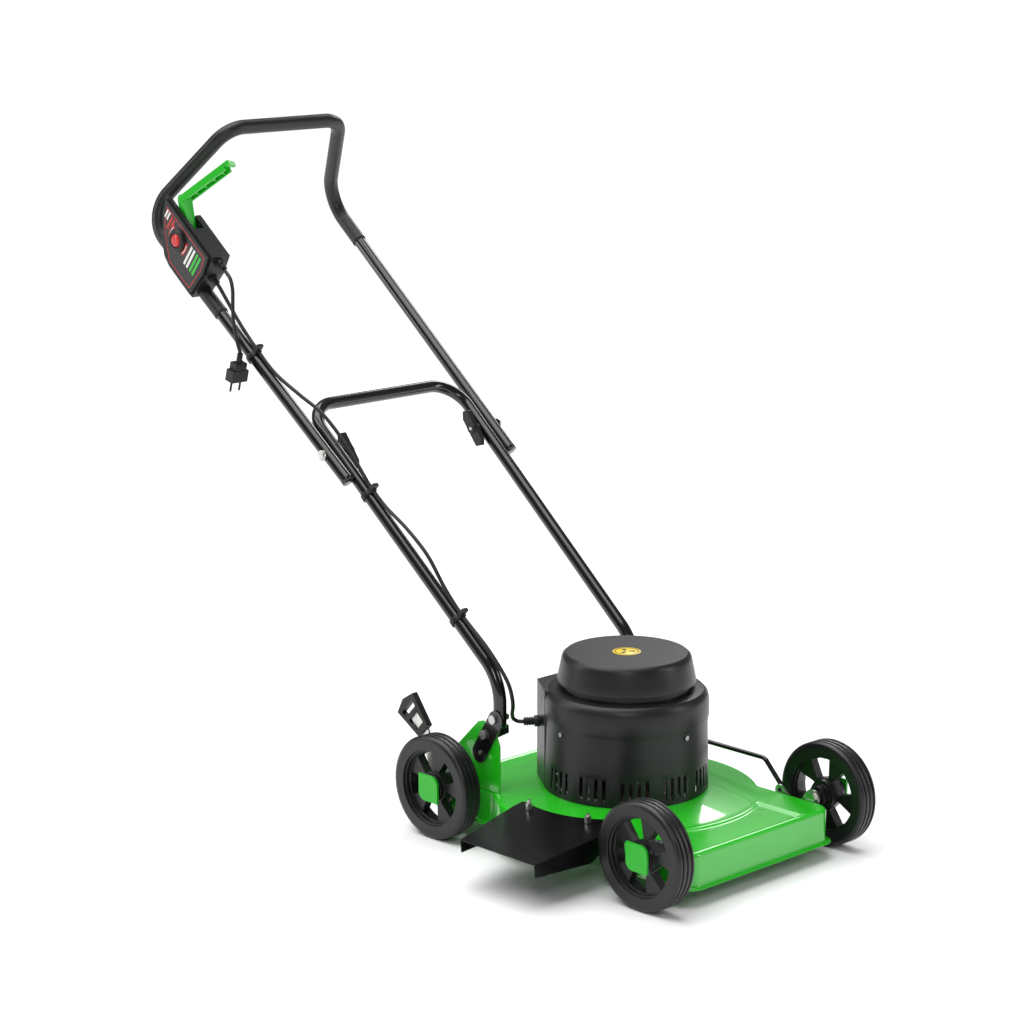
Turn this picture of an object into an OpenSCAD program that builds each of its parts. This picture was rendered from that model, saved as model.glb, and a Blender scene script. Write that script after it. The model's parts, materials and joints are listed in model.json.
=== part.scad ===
// Walk-behind electric rotary mower: pressed steel deck, vertical motor under a plastic
// cover, four wheels on two linked crank axles and a two-part folding tubular handle.
// X points forward, Y to the operator's left, Z up. Wheels stand on z = 0.

/* [Wheels] */
// Outside diameter of each wheel
wheel_d = 175; // [140:1:220]
// Width of each wheel over its side walls
wheel_w = 38; // [28:1:46]
// Distance between the middle planes of a left and a right wheel
track = 437; // [430:1:480]
// Distance of the front wheel centres in front of the motor axis
front_axle_x = 252; // [245:1:270]
// Distance of the rear wheel centres behind the motor axis
rear_axle_x = 222; // [215:1:235]
// Diameter of the pin that each wheel turns on
wheel_pin_d = 12; // [8:1:14]

/* [Deck] */
// Distance from the motor axis to the front wall
deck_front = 300; // [285:1:330]
// Distance from the motor axis to the rear wall
deck_rear = 262; // [258:1:290]
// Half the width between the straight side walls
deck_half_w = 171; // [165:1:176]
// Radius of the round wall about the blade
dome_r = 222; // [210:1:224]
// Height of the flat top above the ground
deck_top = 85; // [80:1:100]
// Height of the lower edge above the ground
deck_bottom = 28; // [20:1:32]
// Thickness of the deck sheet
sheet_t = 1.6; // [1.2:0.1:2.5]
// Width of the out-turned lip at the lower edge
flange_w = 9; // [6:0.5:12]
// Rise of the cone under the motor above the flat top
dome_rise = 10; // [6:0.5:14]

/* [Cutting] */
// Length of the blade from tip to tip
blade_len = 350; // [300:1:352]
// Width of the blade bar
blade_w = 48; // [35:1:60]
// Thickness of the blade bar
blade_t = 3; // [2.5:0.5:4]
// Height of the underside of the blade above the ground
blade_z = 42; // [36:1:46]

/* [Motor] */
// Radius of the cover where it meets the deck
cover_r = 136.5; // [128:0.5:139]
// Height of the cover's shoulder above the ground
cover_top = 262; // [250:1:275]
// Wall of the cover and the cap
cover_t = 3; // [2:0.5:4]
// Radius of the lower rim of the cap
cap_r = 114; // [110:0.5:118]
// Height of the flat top of the cap above the ground
cap_top = 320; // [305:1:340]
// Diameter of the motor shaft
shaft_d = 17; // [14:1:20]
// Outside radius of the stator laminations
stator_r = 72; // [60:1:78]
// Number of vent slots in one group
slots_per_group = 4; // [3:1:5]
// Width of one vent slot
slot_w = 6; // [4:0.5:7]

/* [Height adjustment] */
// Distance from the crank shaft to the wheel pin
crank_arm = 50; // [40:1:56]
// Angle of that arm above the horizontal at the lowest cut
crank_angle = 55; // [45:1:60]
// Diameter of the two crank shafts
crank_d = 12; // [10:1:14]
// Thickness of the crank plates and the lever
crank_t = 4; // [3:0.5:5]
// Diameter of the link rod
link_d = 8; // [6:0.5:9]

/* [Handle] */
// Diameter of the handle tubes
tube_d = 22; // [19:1:25]
// Wall of the handle tubes
tube_t = 1.5; // [1:0.1:2]
// Distance of the upper fold axis behind the motor axis
fold_back = 520; // [480:1:580]
// Height of the upper fold axis above the ground
fold_z = 600; // [560:1:660]
// Slope of the upper handle's legs
upper_slope = 38.4; // [35:0.1:42]
// Slope of the lower handle's legs
lower_slope = 40; // [37:0.1:43]
// Half the distance between the upper handle's legs at the fold axis
upper_half = 192.5; // [185:0.5:200]
// Outward lean of the legs per unit of length
splay = 0.03; // [0.02:0.005:0.04]
// Length of the upper legs from the fold axis to the grip bend
grip_run = 593; // [560:1:640]
// Length of the sloping grip from its bend to the top bar
grip_len = 207; // [180:1:230]
// Slope of the grip
grip_slope = 50; // [45:1:60]
// Thickness of the soft sleeve on the grip
sleeve_t = 2; // [1:0.5:3]

/* [Electric] */
// Diameter of the motor lead
lead_d = 6.6; // [5:0.2:8]
// Diameter of the mains cord
cord_d = 6.4; // [5:0.2:8]
// Length of the switch box along the handle
box_len = 112; // [106:1:126]
// Thickness of the switch box across the handle
box_w = 44; // [40:1:52]
// Diameter of the stop button
button_d = 23; // [18:1:26]
// Distance between the plug's two round pins
pin_pitch = 19; // [15:0.5:22]
// Diameter of the plug's pins
pin_d = 4; // [3.5:0.1:5]
// Free length of the plug's pins
pin_len = 19; // [15:0.5:20]

/* [Hidden] */

// Clearances: sliding fit of a shaft in its hole, and the gap between moving faces
fit = 0.05;
gap = 0.3;
// Step and overlap where a straight tube runs into a bend
seam_step = 0.06;
seam_lap = 1;
// How much narrower than its round ends a slot's straight part is
end_step = 0.1;
// Facets of full curves
round_fn = 96;
small_fn = 40;

wheel_r = wheel_d / 2;
tube_r = tube_d / 2;
seat_z = deck_top + dome_rise;
// Radius of the level seat under the motor cover, and of the foot of the cone
seat_r = cover_r + 4;
cone_r = dome_r - 8;

// Layers from the deck's side wall outwards
bush_flange = 3;
crank_y = deck_half_w + bush_flange + 2;
link_y = crank_y + crank_t + 2 + link_d / 2;
wheel_in = track / 2 - wheel_w / 2;
wheel_out = track / 2 + wheel_w / 2;

// Crank shafts, worked out from the wheel centres
arm_x = crank_arm * cos(crank_angle);
arm_z = crank_arm * sin(crank_angle);
front_shaft = [front_axle_x - arm_x, wheel_r - arm_z];
rear_shaft = [-rear_axle_x - arm_x, wheel_r - arm_z];
link_arm = 55;
link_angle = 136.5;
link_pin = [link_arm * cos(link_angle), link_arm * sin(link_angle)];
link_rise = 44;

// Handle points: s runs up a leg from the fold axis, b stands off it to the front
tube_gap = 1.2;
lower_half = upper_half - tube_d - tube_gap;
lower_splay = splay - 0.01;
cross_s = 106;
leg_foot_x = -134;
leg_foot_z = 196;
strap_t = 3;
bracket_y = 170;
bracket_t = 2.8;
pivot = [-158, 180];
tube_bolt = [-135, 211];

function up_dir(a) = [-cos(a), 0, sin(a)];
function fwd_dir(a) = [sin(a), 0, cos(a)];
function leg_at(a, half, lean, s, side) =
    [-fold_back, side * (half + lean * s), fold_z] + s * up_dir(a);
function upper_at(s, side) = leg_at(upper_slope, upper_half, splay, s, side);
function lower_at(s, side) = leg_at(lower_slope, lower_half, lower_splay, s, side);
// Point beside the right upper leg, at height s, stand-off b and offset y from the middle
function beside(s, b, y) =
    [-fold_back, y, fold_z] + s * up_dir(upper_slope) + b * fwd_dir(upper_slope);

upper_end_s = -64;
grip_in = 82;
grip_bend = 58;
top_bend = 50;
function grip_foot(side) = upper_at(grip_run, side);
function grip_top(side) = [
    grip_foot(side)[0] + grip_len * cos(grip_slope),
    side * (abs(grip_foot(side)[1]) - grip_in),
    grip_foot(side)[2] + grip_len * sin(grip_slope)
];
upper_path = [
    upper_at(upper_end_s, -1), grip_foot(-1), grip_top(-1),
    grip_top(1), grip_foot(1), upper_at(upper_end_s, 1)
];
upper_bends = [0, grip_bend, top_bend, top_bend, grip_bend, 0];

// The lower leg meets its upright foot where the sloping line reaches the foot's x
foot_s = (-fold_back - leg_foot_x) / cos(lower_slope);
function foot_knee(side) = lower_at(foot_s, side);
function foot_end(side) = [foot_knee(side)[0], foot_knee(side)[1], leg_foot_z];
lower_path = [
    foot_end(-1), foot_knee(-1), lower_at(cross_s, -1),
    lower_at(cross_s, 1), foot_knee(1), foot_end(1)
];
lower_bends = [0, 90, 55, 55, 90, 0];
foot_y = abs(foot_knee(1)[1]);
strap_y = foot_y + tube_r;

// Reference point: middle of the mower's plan box, on the ground
sleeve_r = tube_r + sleeve_t;
rear_reach = fold_back + grip_run * cos(upper_slope) - grip_bend * 0.42 + sleeve_r;
front_reach = max(deck_front + flange_w, front_axle_x + wheel_r);
chute_out = 356;
origin_shift = [(rear_reach - front_reach) / 2, (chute_out - wheel_out) / 2, 0];

// Motor lead: up the right leg from the motor, then along the upper leg to the box
lower_lead_points = [
    [-126, -113, 197], [-132, -121, 198], [-134, -129, 204], [-128, -137, 216],
    [-117, -146, 231], [-112, -153, 250], [-115, -158, 272], [-132, -161, 297],
    [-166, -162, 329], [-222, -162, 370], [-260, -164, 408], [-301, -165, 457],
    [-350, -166, 494], [-402, -167, 524], [-435, -168, 550], [-444, -169, 559]
];
upper_lead_points = [
    [-445, -169, 560], [-481, -170, 599], [-517, -173, 636], [-555, -179, 668],
    [-599, -188, 693], [-651, -197, 724], [-695, -200, 760], [-734, -203, 798],
    [-768, -204, 835], [-791, -205, 861], [-803, -205, 870.5]
];
// Mains cord: down from its gland, over the outside of the right leg, to the plug
mains_points = [
    [-781, -205, 896], [-768, -205, 886], [-757, -206, 876], [-747, -210, 858], [-740, -216, 834],
    [-729, -224, 806], [-714, -230, 780], [-702, -232, 757]
];

// ---- helpers ----

function unit(v) = v / norm(v);

// Turns the X and Y axes onto two given square directions at a point
module on_frame(p, ex, ey) {
    ez = cross(ex, ey);
    multmatrix([
        [ex[0], ey[0], ez[0], p[0]],
        [ex[1], ey[1], ez[1], p[1]],
        [ex[2], ey[2], ez[2], p[2]]
    ]) children();
}

// Some direction square to a given one, away from the planes that the bends lie in
function square_to(d) = unit(cross(d, [0.3, -0.5, 0.8]));

// Round bar between two points
module bar(a, b, r) {
    d = unit(b - a);
    e = square_to(d);
    on_frame(a, e, cross(d, e)) cylinder(r = r, h = norm(b - a), $fn = small_fn);
}

// Round bar along corners that are rounded with bends of given radii. The straights are a
// hair thinner than the bends and run a little way into them; extra lengthens both ends.
module bent_bar(pts, bends, r, extra = 0) {
    n = len(pts);
    dirs = [for (i = [0 : n - 2]) unit(pts[i + 1] - pts[i])];
    turns = [for (i = [0 : n - 1]) (i == 0 || i == n - 1) ? 0 : acos(dirs[i - 1] * dirs[i])];
    cuts = [for (i = [0 : n - 1]) bends[i] * tan(turns[i] / 2)];
    laps = [for (i = [0 : n - 1]) (i == 0 || i == n - 1) ? extra : seam_lap - cuts[i]];
    for (i = [0 : n - 2])
        bar(pts[i] - laps[i] * dirs[i], pts[i + 1] + laps[i + 1] * dirs[i], r - seam_step);
    for (i = [1 : n - 2]) {
        side = unit(dirs[i] - (dirs[i - 1] * dirs[i]) * dirs[i - 1]);
        start = pts[i] - cuts[i] * dirs[i - 1];
        on_frame(start + bends[i] * side, -side, dirs[i - 1])
            rotate_extrude(angle = turns[i], $fn = round_fn)
                translate([bends[i], 0])
                    circle(r = r, $fn = small_fn);
    }
}

// Cylinder along Y between two distances from the middle, on one side
module cross_pin(x, z, y0, y1, r, side) {
    translate([x, side * min(y0, y1) - (side < 0 ? abs(y1 - y0) : 0), z])
        rotate([-90, 0, 0])
            cylinder(r = r, h = abs(y1 - y0), $fn = small_fn);
}

// Flat plate of thickness t in the XZ plane, its inner face at distance y from the middle
module side_plate(y, t, side) {
    translate([0, side > 0 ? y + t : -y, 0])
        rotate([90, 0, 0])
            linear_extrude(t)
                children();
}

// Plan shape with round ends between two points
module slot_plan(a, b, r) {
    d = b - a;
    translate(a) circle(r = r, $fn = small_fn);
    translate(b) circle(r = r, $fn = small_fn);
    translate(a)
        rotate(atan2(d[1], d[0]))
            translate([0, -r + end_step])
                square([norm(d), 2 * (r - end_step)]);
}

// Six-sided nut or bolt head, along Z
module hex(across, h) {
    cylinder(d = across / cos(30), h = h, $fn = 6);
}

// Smooth curve through points: place number i plus fraction u
function spline_at(p, i, u) =
    let (n = len(p),
         a = p[max(i - 1, 0)],
         b = p[i],
         c = p[min(i + 1, n - 1)],
         d = p[min(i + 2, n - 1)])
    0.5 * (2 * b + (c - a) * u + (2 * a - 5 * b + 4 * c - d) * u * u
        + (3 * b - a - 3 * c + d) * u * u * u);
function spline(p, steps) = [
    for (i = [0 : len(p) - 2]) for (k = [0 : steps - 1]) spline_at(p, i, k / steps),
    p[len(p) - 1]
];

// Tube swept along a smooth curve through points
module sweep_tube(points, d, steps, sides) {
    path = spline(points, steps);
    n = len(path);
    dirs = [for (i = [0 : n - 1]) unit(path[min(i + 1, n - 1)] - path[max(i - 1, 0)])];
    aside = [for (i = [0 : n - 1]) unit(cross(dirs[i], [0.25, 1, 0.1]))];
    rings = [
        for (i = [0 : n - 1]) for (k = [0 : sides - 1])
            let (a = 360 * k / sides)
            path[i] + d / 2 * (cos(a) * aside[i] + sin(a) * cross(dirs[i], aside[i]))
    ];
    walls = [
        for (i = [0 : n - 2]) for (k = [0 : sides - 1])
            let (j = (k + 1) % sides)
            [i * sides + k, (i + 1) * sides + k, (i + 1) * sides + j, i * sides + j]
    ];
    ends = [
        [for (k = [0 : sides - 1]) k],
        [for (k = [sides - 1 : -1 : 0]) (n - 1) * sides + k]
    ];
    polyhedron(rings, concat(walls, ends));
}

module place() {
    translate(origin_shift) children();
}

// ---- deck ----

deck_green = "limegreen";
corner_r = 24;
rear_corner_r = 8;
panel_back = cone_r + 12;
panel_front = deck_front - 10;
panel_half = 101;
panel_depth = 3;

// Plan of the deck, drawn in by an inset
module deck_plan(inset) {
    x0 = -deck_rear + inset;
    x1 = deck_front - inset;
    w = deck_half_w - inset;
    circle(r = dome_r - inset, $fn = round_fn);
    translate([x0, -deck_half_w + corner_r])
        square([x1 - x0, 2 * (deck_half_w - corner_r)]);
    translate([x0, -deck_half_w + rear_corner_r])
        square([-x0, 2 * (deck_half_w - rear_corner_r)]);
    translate([-deck_rear + rear_corner_r, -w])
        square([deck_rear - rear_corner_r + deck_front - corner_r, 2 * w]);
    for (side = [-1, 1]) {
        translate([deck_front - corner_r, side * (deck_half_w - corner_r)])
            circle(r = corner_r - inset, $fn = small_fn);
        translate([-deck_rear + rear_corner_r, side * (deck_half_w - rear_corner_r)])
            circle(r = rear_corner_r - inset, $fn = small_fn);
    }
}

// Plan of the sunken panel in front of the round wall
module panel_plan(inset) {
    difference() {
        translate([0, -panel_half + inset])
            square([panel_front - inset, 2 * (panel_half - inset)]);
        circle(r = panel_back + inset, $fn = round_fn);
    }
}

motor_bolt_r = 100;
motor_bolt_d = 8;
chute_bolts_at = [[-21, -203], [93, -184]];
chute_bolt_d = 6;

window_x0 = -44;
window_x1 = 138;

module deck_pan() {
    color(deck_green) difference() {
        union() {
            difference() {
                union() {
                    translate([0, 0, deck_bottom])
                        linear_extrude(deck_top - deck_bottom)
                            deck_plan(0);
                    translate([0, 0, deck_bottom])
                        linear_extrude(sheet_t)
                            deck_plan(-flange_w);
                    translate([0, 0, deck_top])
                        cylinder(r1 = cone_r, r2 = seat_r, h = dome_rise, $fn = round_fn);
                }
                translate([0, 0, deck_bottom - 1])
                    linear_extrude(deck_top - sheet_t - deck_bottom + 1)
                        deck_plan(sheet_t);
                translate([0, 0, deck_top - sheet_t])
                    cylinder(r1 = cone_r, r2 = seat_r, h = dome_rise, $fn = round_fn);
                translate([0, 0, deck_top - panel_depth])
                    linear_extrude(panel_depth + 1)
                        panel_plan(0);
            }
            difference() {
                translate([0, 0, deck_top - panel_depth - sheet_t])
                    linear_extrude(panel_depth + sheet_t / 2)
                        panel_plan(-sheet_t);
                translate([0, 0, deck_top - panel_depth])
                    linear_extrude(panel_depth + 1)
                        panel_plan(0);
            }
        }
        // Outlet for the cut grass
        translate([window_x0, -dome_r - flange_w - 5, deck_bottom - 1])
            cube([window_x1 - window_x0, dome_r + flange_w + 5 - 140, deck_top - deck_bottom - 6]);
        // Shaft and motor bolts
        cylinder(r = 34, h = 200, $fn = small_fn);
        for (a = [45 : 90 : 315])
            rotate(a)
                translate([motor_bolt_r, 0, 0])
                    cylinder(d = motor_bolt_d + 2 * fit, h = 200, $fn = small_fn);
        for (p = chute_bolts_at)
            translate([p[0], p[1], deck_top - 12])
                cylinder(d = chute_bolt_d + 2 * fit, h = 40, $fn = small_fn);
        // Bushes of the two crank shafts
        for (c = [front_shaft, rear_shaft]) for (side = [-1, 1])
            cross_pin(c[0], c[1], deck_half_w - 8, deck_half_w + 8, crank_d / 2 + 3, side);
    }
}

// Upright plates that carry the handle, with a foot turned in on the deck
module handle_brackets() {
    plate = [
        [-240, deck_top], [-140, deck_top], [-124, deck_top + 1.2], [-124, 166], [-131, 181], [-150, 199],
        [-163, 203], [-175, 199], [-221, 153], [-240, 128]
    ];
    color(deck_green) for (side = [-1, 1]) difference() {
        union() {
            side_plate(bracket_y - bracket_t, bracket_t, side) polygon(plate);
            translate([-240, side > 0 ? bracket_y - 24 : -bracket_y, deck_top])
                cube([74, 24, bracket_t]);
        }
        cross_pin(pivot[0], pivot[1], bracket_y - 9, bracket_y + 9, pivot_r + fit, side);
    }
}

chute_t = 1.6;
chute_drop = 4.6;
chute_z = seat_z - 5;
chute_in = 188;
chute_x0 = -54;
chute_x1 = 147;
chute_skew = 35;

// Sheet deflector over the outlet, with a lip turned down on each side
module discharge_chute() {
    lip_in = -chute_in - 46;
    edge = [chute_skew, chute_in + 17 - chute_out];
    left_turn = atan2(edge[1], edge[0]);
    left_run = norm(edge);
    color([0.06, 0.06, 0.065])
    difference() {
        translate([0, -chute_in, chute_z]) rotate([chute_drop, 0, 0]) translate([0, chute_in, 0]) {
            linear_extrude(chute_t) difference() {
                polygon([
                    [chute_x0 - 2, -chute_in + 5], [chute_x0, -chute_in - 17],
                    [chute_x0 + chute_skew, -chute_out], [chute_x1, -chute_out],
                    [chute_x1, -168], [104, -148]
                ]);
                circle(r = chute_in, $fn = round_fn);
            }
            // Rear lip, along the skewed edge
            translate([chute_x0, -chute_in - 17, chute_t])
                rotate([0, 0, left_turn])
                    translate([0, chute_t / 2, 0]) rotate([90, 0, 0])
                        linear_extrude(chute_t)
                            polygon([
                                [30, 0], [left_run, 0], [left_run, -22], [60, -34], [30, -34]
                            ]);
            // Front lip
            translate([chute_x1 - chute_t, 0, chute_t])
                rotate([90, 0, 90])
                    linear_extrude(chute_t)
                        polygon([
                            [-chute_out, 0], [lip_in + 46, 0], [lip_in + 46, -16],
                            [lip_in, -38], [-chute_out, -22]
                        ]);
        }
        for (p = chute_bolts_at)
            translate([p[0], p[1], deck_top - 12])
                cylinder(d = chute_bolt_d + 2 * fit, h = 40, $fn = small_fn);
    }
}

// Bolt, spacer under the chute and two nuts on top, twice
module chute_bolts() {
    color("silver") for (p = chute_bolts_at) {
        reach = norm(p);
        under = deck_top + dome_rise * (cone_r - reach) / (cone_r - seat_r);
        over = chute_z + chute_t + (p[1] + chute_in) * tan(chute_drop);
        translate([p[0], p[1], 0]) {
            translate([0, 0, under - sheet_t - 6]) hex(10, 4);
            translate([0, 0, under - sheet_t - 3]) cylinder(d = chute_bolt_d, h = 26, $fn = small_fn);
            translate([0, 0, over + 0.6]) hex(10, 5);
            translate([0, 0, over + 6.4]) hex(10, 5);
        }
    }
}

// ---- motor ----

cover_black = [0.07, 0.07, 0.075];
neck_r = cap_r - 9;
neck_h = 22;

box_x = 139;
box_half = 69;
// Tangent corner of the flat cheek beside the terminal box
cheek = atan2(box_half, box_x) + acos(cover_r / norm([box_x, box_half]));
cheek_x = cover_r * cos(180 - cheek);
cheek_y = cover_r * sin(180 - cheek);
box_roof = cover_top - 3;

module terminal_plan(inset) {
    k = 1 - inset / cover_r;
    polygon([
        [0, -60], [cheek_x * k, -cheek_y * k], [-box_x + inset, -box_half + inset * 0.55],
        [-box_x + inset, box_half - inset * 0.55], [cheek_x * k, cheek_y * k], [0, 60]
    ]);
}

module cover_shell(inset) {
    r = cover_r - inset;
    rotate_extrude($fn = round_fn)
        polygon([
            [0, seat_z - (inset > 0 ? 1 : 0)], [r, seat_z - (inset > 0 ? 1 : 0)],
            [r - 2.5, 206], [r - 0.5, 218], [r - 0.5, cover_top - 18],
            [r - 3, cover_top - 8], [r - 9, cover_top - 2 - inset / 3],
            [neck_r + 8, cover_top - inset], [0, cover_top - inset]
        ]);
}

slot_groups = [-100, -70, -40, -10, 20, 50, 80, 110];
slot_step = 5.7;
slot_z0 = seat_z + 9;
slot_h = 36;
cover_screws_at = [-98, 0, 98];
screw_z = 202;
gland_face = [-110, -90, 197];
gland_turn = 180 + 54.2;

module motor_cover() {
    color(cover_black) difference() {
        union() {
            cover_shell(0);
            translate([0, 0, seat_z]) linear_extrude(box_roof - seat_z) terminal_plan(0);
            translate([0, 0, cover_top - 4]) cylinder(r = neck_r, h = neck_h, $fn = round_fn);
        }
        cover_shell(cover_t);
        translate([0, 0, seat_z - 1])
            linear_extrude(box_roof - seat_z - cover_t + 1)
                terminal_plan(cover_t);
        translate([0, 0, cover_top - 20]) cylinder(r = neck_r - cover_t, h = 60, $fn = round_fn);
        // Vent slots in groups around the skirt
        for (g = slot_groups) for (k = [0 : slots_per_group - 1])
            rotate(g + (k - (slots_per_group - 1) / 2) * slot_step)
                translate([cover_r - 8, -slot_w / 2, slot_z0])
                    cube([16, slot_w, slot_h]);
        for (a = cover_screws_at)
            rotate(a)
                translate([cover_r - 12, 0, screw_z])
                    rotate([0, 90, 0])
                        cylinder(r = 2.1 + fit, h = 20, $fn = small_fn);
        translate(gland_face)
            rotate([0, 90, gland_turn])
                translate([0, 0, -14])
                    cylinder(r = 7 + fit, h = 30, $fn = small_fn);
    }
}

module cap_profile(inset) {
    polygon([
        [0, cap_top - 47], [cap_r - inset, cap_top - 47], [cap_r - inset, cap_top - 43],
        [cap_r - 7 - inset, cap_top - 9], [cap_r - 9 - inset, cap_top - 4],
        [cap_r - 14 - inset, cap_top - inset], [0, cap_top - inset]
    ]);
}

module motor_cap() {
    rest = cover_top - 4 + neck_h;
    color(cover_black) {
        difference() {
            rotate_extrude($fn = round_fn) cap_profile(0);
            difference() {
                rotate_extrude($fn = round_fn) cap_profile(cover_t);
                // Ledge that sits on the neck
                translate([0, 0, rest]) difference() {
                    cylinder(r = cap_r + 5, h = 4, $fn = round_fn);
                    translate([0, 0, -1]) cylinder(r = neck_r - 6, h = 6, $fn = round_fn);
                }
            }
            translate([0, 0, cap_top - 48]) cylinder(r = cap_r - cover_t, h = 5, $fn = round_fn);
        }
    }
}

module cover_screws() {
    color("silver") for (a = cover_screws_at)
        rotate(a)
            translate([cover_r - 14, 0, screw_z])
                rotate([0, 90, 0]) {
                    cylinder(r = 2.1, h = 13, $fn = small_fn);
                    translate([0, 0, 12]) cylinder(r = 4, h = 2.2, $fn = small_fn);
                }
}

gland_len = 28;

module cable_gland() {
    color([0.05, 0.05, 0.05])
    translate(gland_face)
        rotate([0, 90, gland_turn])
            difference() {
                union() {
                    translate([0, 0, -8]) cylinder(r = 7, h = 10, $fn = small_fn);
                    translate([0, 0, 1]) cylinder(r = 9.5, h = 9, $fn = small_fn);
                    translate([0, 0, 10]) cylinder(r = 5.6, h = gland_len - 10, $fn = small_fn);
                    for (k = [0 : 3])
                        translate([0, 0, 12 + 4.2 * k])
                            cylinder(r = 7.4, h = 2.4, $fn = small_fn);
                }
                translate([0, 0, -10]) cylinder(r = lead_d / 2 + fit, h = 60, $fn = small_fn);
            }
}

core_z0 = 132;
core_z1 = 202;
bore_r = 42;
base_t = 6;
bearing_r = 20;
bearing_h = 12;
shaft_r = shaft_d / 2;
base_z = seat_z;
top_z = 226;

module stator_core() {
    color("slategray") difference() {
        translate([0, 0, core_z0]) cylinder(r = stator_r, h = core_z1 - core_z0, $fn = round_fn);
        translate([0, 0, core_z0 - 1])
            cylinder(r = bore_r, h = core_z1 - core_z0 + 2, $fn = round_fn);
        for (a = [0 : 15 : 345])
            rotate(a)
                translate([bore_r - 2, -2, core_z0 - 1])
                    cube([18, 4, core_z1 - core_z0 + 2]);
    }
}

module stator_windings() {
    color("peru") for (z = [core_z0 - 16, core_z1])
        translate([0, 0, z])
            rotate_extrude($fn = round_fn)
                polygon([
                    [bore_r + 4, 0], [stator_r - 10, 0], [stator_r - 7, 4], [stator_r - 7, 12],
                    [stator_r - 10, 16], [bore_r + 4, 16]
                ]);
}

post_r = 88;
post_d = 12;

// Cast plate on the deck with the lower bearing seat and four posts for the stator bolts
module motor_base() {
    color("gainsboro") difference() {
        union() {
            translate([0, 0, base_z]) cylinder(r = 116, h = base_t, $fn = round_fn);
            translate([0, 0, base_z]) cylinder(r = 28, h = 17, $fn = small_fn);
            for (a = [0 : 90 : 270])
                rotate(a)
                    translate([post_r, 0, base_z])
                        cylinder(d = post_d, h = core_z0 - base_z - 2, $fn = small_fn);
        }
        translate([0, 0, base_z + 5]) cylinder(r = bearing_r, h = bearing_h + 1, $fn = small_fn);
        translate([0, 0, base_z - 1]) cylinder(r = shaft_r + 4, h = 30, $fn = small_fn);
        for (a = [45 : 90 : 315])
            rotate(a)
                translate([motor_bolt_r, 0, base_z - 1])
                    cylinder(d = motor_bolt_d + 2 * fit, h = base_t + 2, $fn = small_fn);
        for (a = [0 : 90 : 270])
            rotate(a)
                translate([post_r, 0, base_z + base_t + 4])
                    cylinder(d = 6 + 2 * fit, h = 60, $fn = small_fn);
    }
}

module motor_top_bracket() {
    color("gainsboro") difference() {
        union() {
            translate([0, 0, top_z]) cylinder(r = 98, h = 5, $fn = round_fn);
            translate([0, 0, top_z - 10]) cylinder(r = 28, h = 13, $fn = small_fn);
            // Skirt that clasps the laminations
            translate([0, 0, core_z1 - 4]) cylinder(r = stator_r + 5, h = 29, $fn = round_fn);
        }
        translate([0, 0, core_z1 - 5]) cylinder(r = stator_r + fit, h = 24, $fn = round_fn);
        translate([0, 0, top_z - 11]) cylinder(r = bearing_r, h = bearing_h + 0.2, $fn = small_fn);
        translate([0, 0, top_z - 7]) cylinder(r = shaft_r + 3, h = 30, $fn = small_fn);
        for (a = [0 : 90 : 270])
            rotate(a)
                translate([post_r, 0, top_z - 1])
                    cylinder(d = 6 + 2 * fit, h = 10, $fn = small_fn);
    }
}

// Four bolts to the deck and four long bolts through the top bracket
module motor_bolts() {
    color("silver") {
        for (a = [45 : 90 : 315])
            rotate(a)
                translate([motor_bolt_r, 0, 0]) {
                    translate([0, 0, base_z + base_t]) hex(13, 5);
                    translate([0, 0, seat_z - 14])
                        cylinder(d = motor_bolt_d, h = base_t + 15, $fn = small_fn);
                    translate([0, 0, seat_z - sheet_t - 8]) hex(13, 7);
                }
        for (a = [0 : 90 : 270])
            rotate(a)
                translate([post_r, 0, 0]) {
                    translate([0, 0, base_z + base_t + 5])
                        cylinder(d = 6, h = top_z + 5 - base_z - base_t - 4, $fn = small_fn);
                    translate([0, 0, top_z + 5]) hex(10, 5);
                }
    }
}

module motor_bearings() {
    color("silver") for (z = [base_z + 5, top_z - 10]) difference() {
        translate([0, 0, z]) cylinder(r = bearing_r, h = bearing_h - 1, $fn = small_fn);
        translate([0, 0, z - 1]) cylinder(r = shaft_r + fit, h = bearing_h + 2, $fn = small_fn);
    }
}

capacitor_x = 115;
capacitor_r = 17;
capacitor_h = 76;

module capacitor() {
    color("whitesmoke") translate([-capacitor_x, 0, base_z + base_t]) {
        cylinder(r = capacitor_r, h = capacitor_h, $fn = small_fn);
        for (y = [-6, 6])
            translate([-0.4, y - 3, capacitor_h])
                cube([0.8, 6, 9]);
    }
}

// ---- rotor ----

module rotor_shaft() {
    color("lightsteelblue") {
        translate([0, 0, blade_z + blade_t + 12])
            cylinder(r = shaft_r, h = 256 - blade_z - blade_t - 12, $fn = small_fn);
    }
}

module rotor_core() {
    color("dimgray") difference() {
        union() {
            translate([0, 0, core_z0]) cylinder(r = bore_r - 0.5, h = core_z1 - core_z0, $fn = round_fn);
            for (z = [core_z0 - 6, core_z1])
                translate([0, 0, z]) cylinder(r = bore_r - 3, h = 6, $fn = round_fn);
        }
        translate([0, 0, core_z0 - 10]) cylinder(r = shaft_r, h = 100, $fn = small_fn);
    }
}

fan_z = 238;
fan_r = 78;

module cooling_fan() {
    color("orange") difference() {
        union() {
            translate([0, 0, fan_z]) cylinder(r = 20, h = 16, $fn = small_fn);
            translate([0, 0, fan_z]) cylinder(r = fan_r, h = 2.5, $fn = round_fn);
            for (a = [0 : 45 : 315])
                rotate(a)
                    translate([18, -1.25, fan_z + 1])
                        rotate([0, 0, 12])
                            cube([fan_r - 22, 2.5, 15]);
        }
        translate([0, 0, fan_z - 1]) cylinder(r = shaft_r, h = 30, $fn = small_fn);
    }
}

hub_r = 26;

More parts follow.
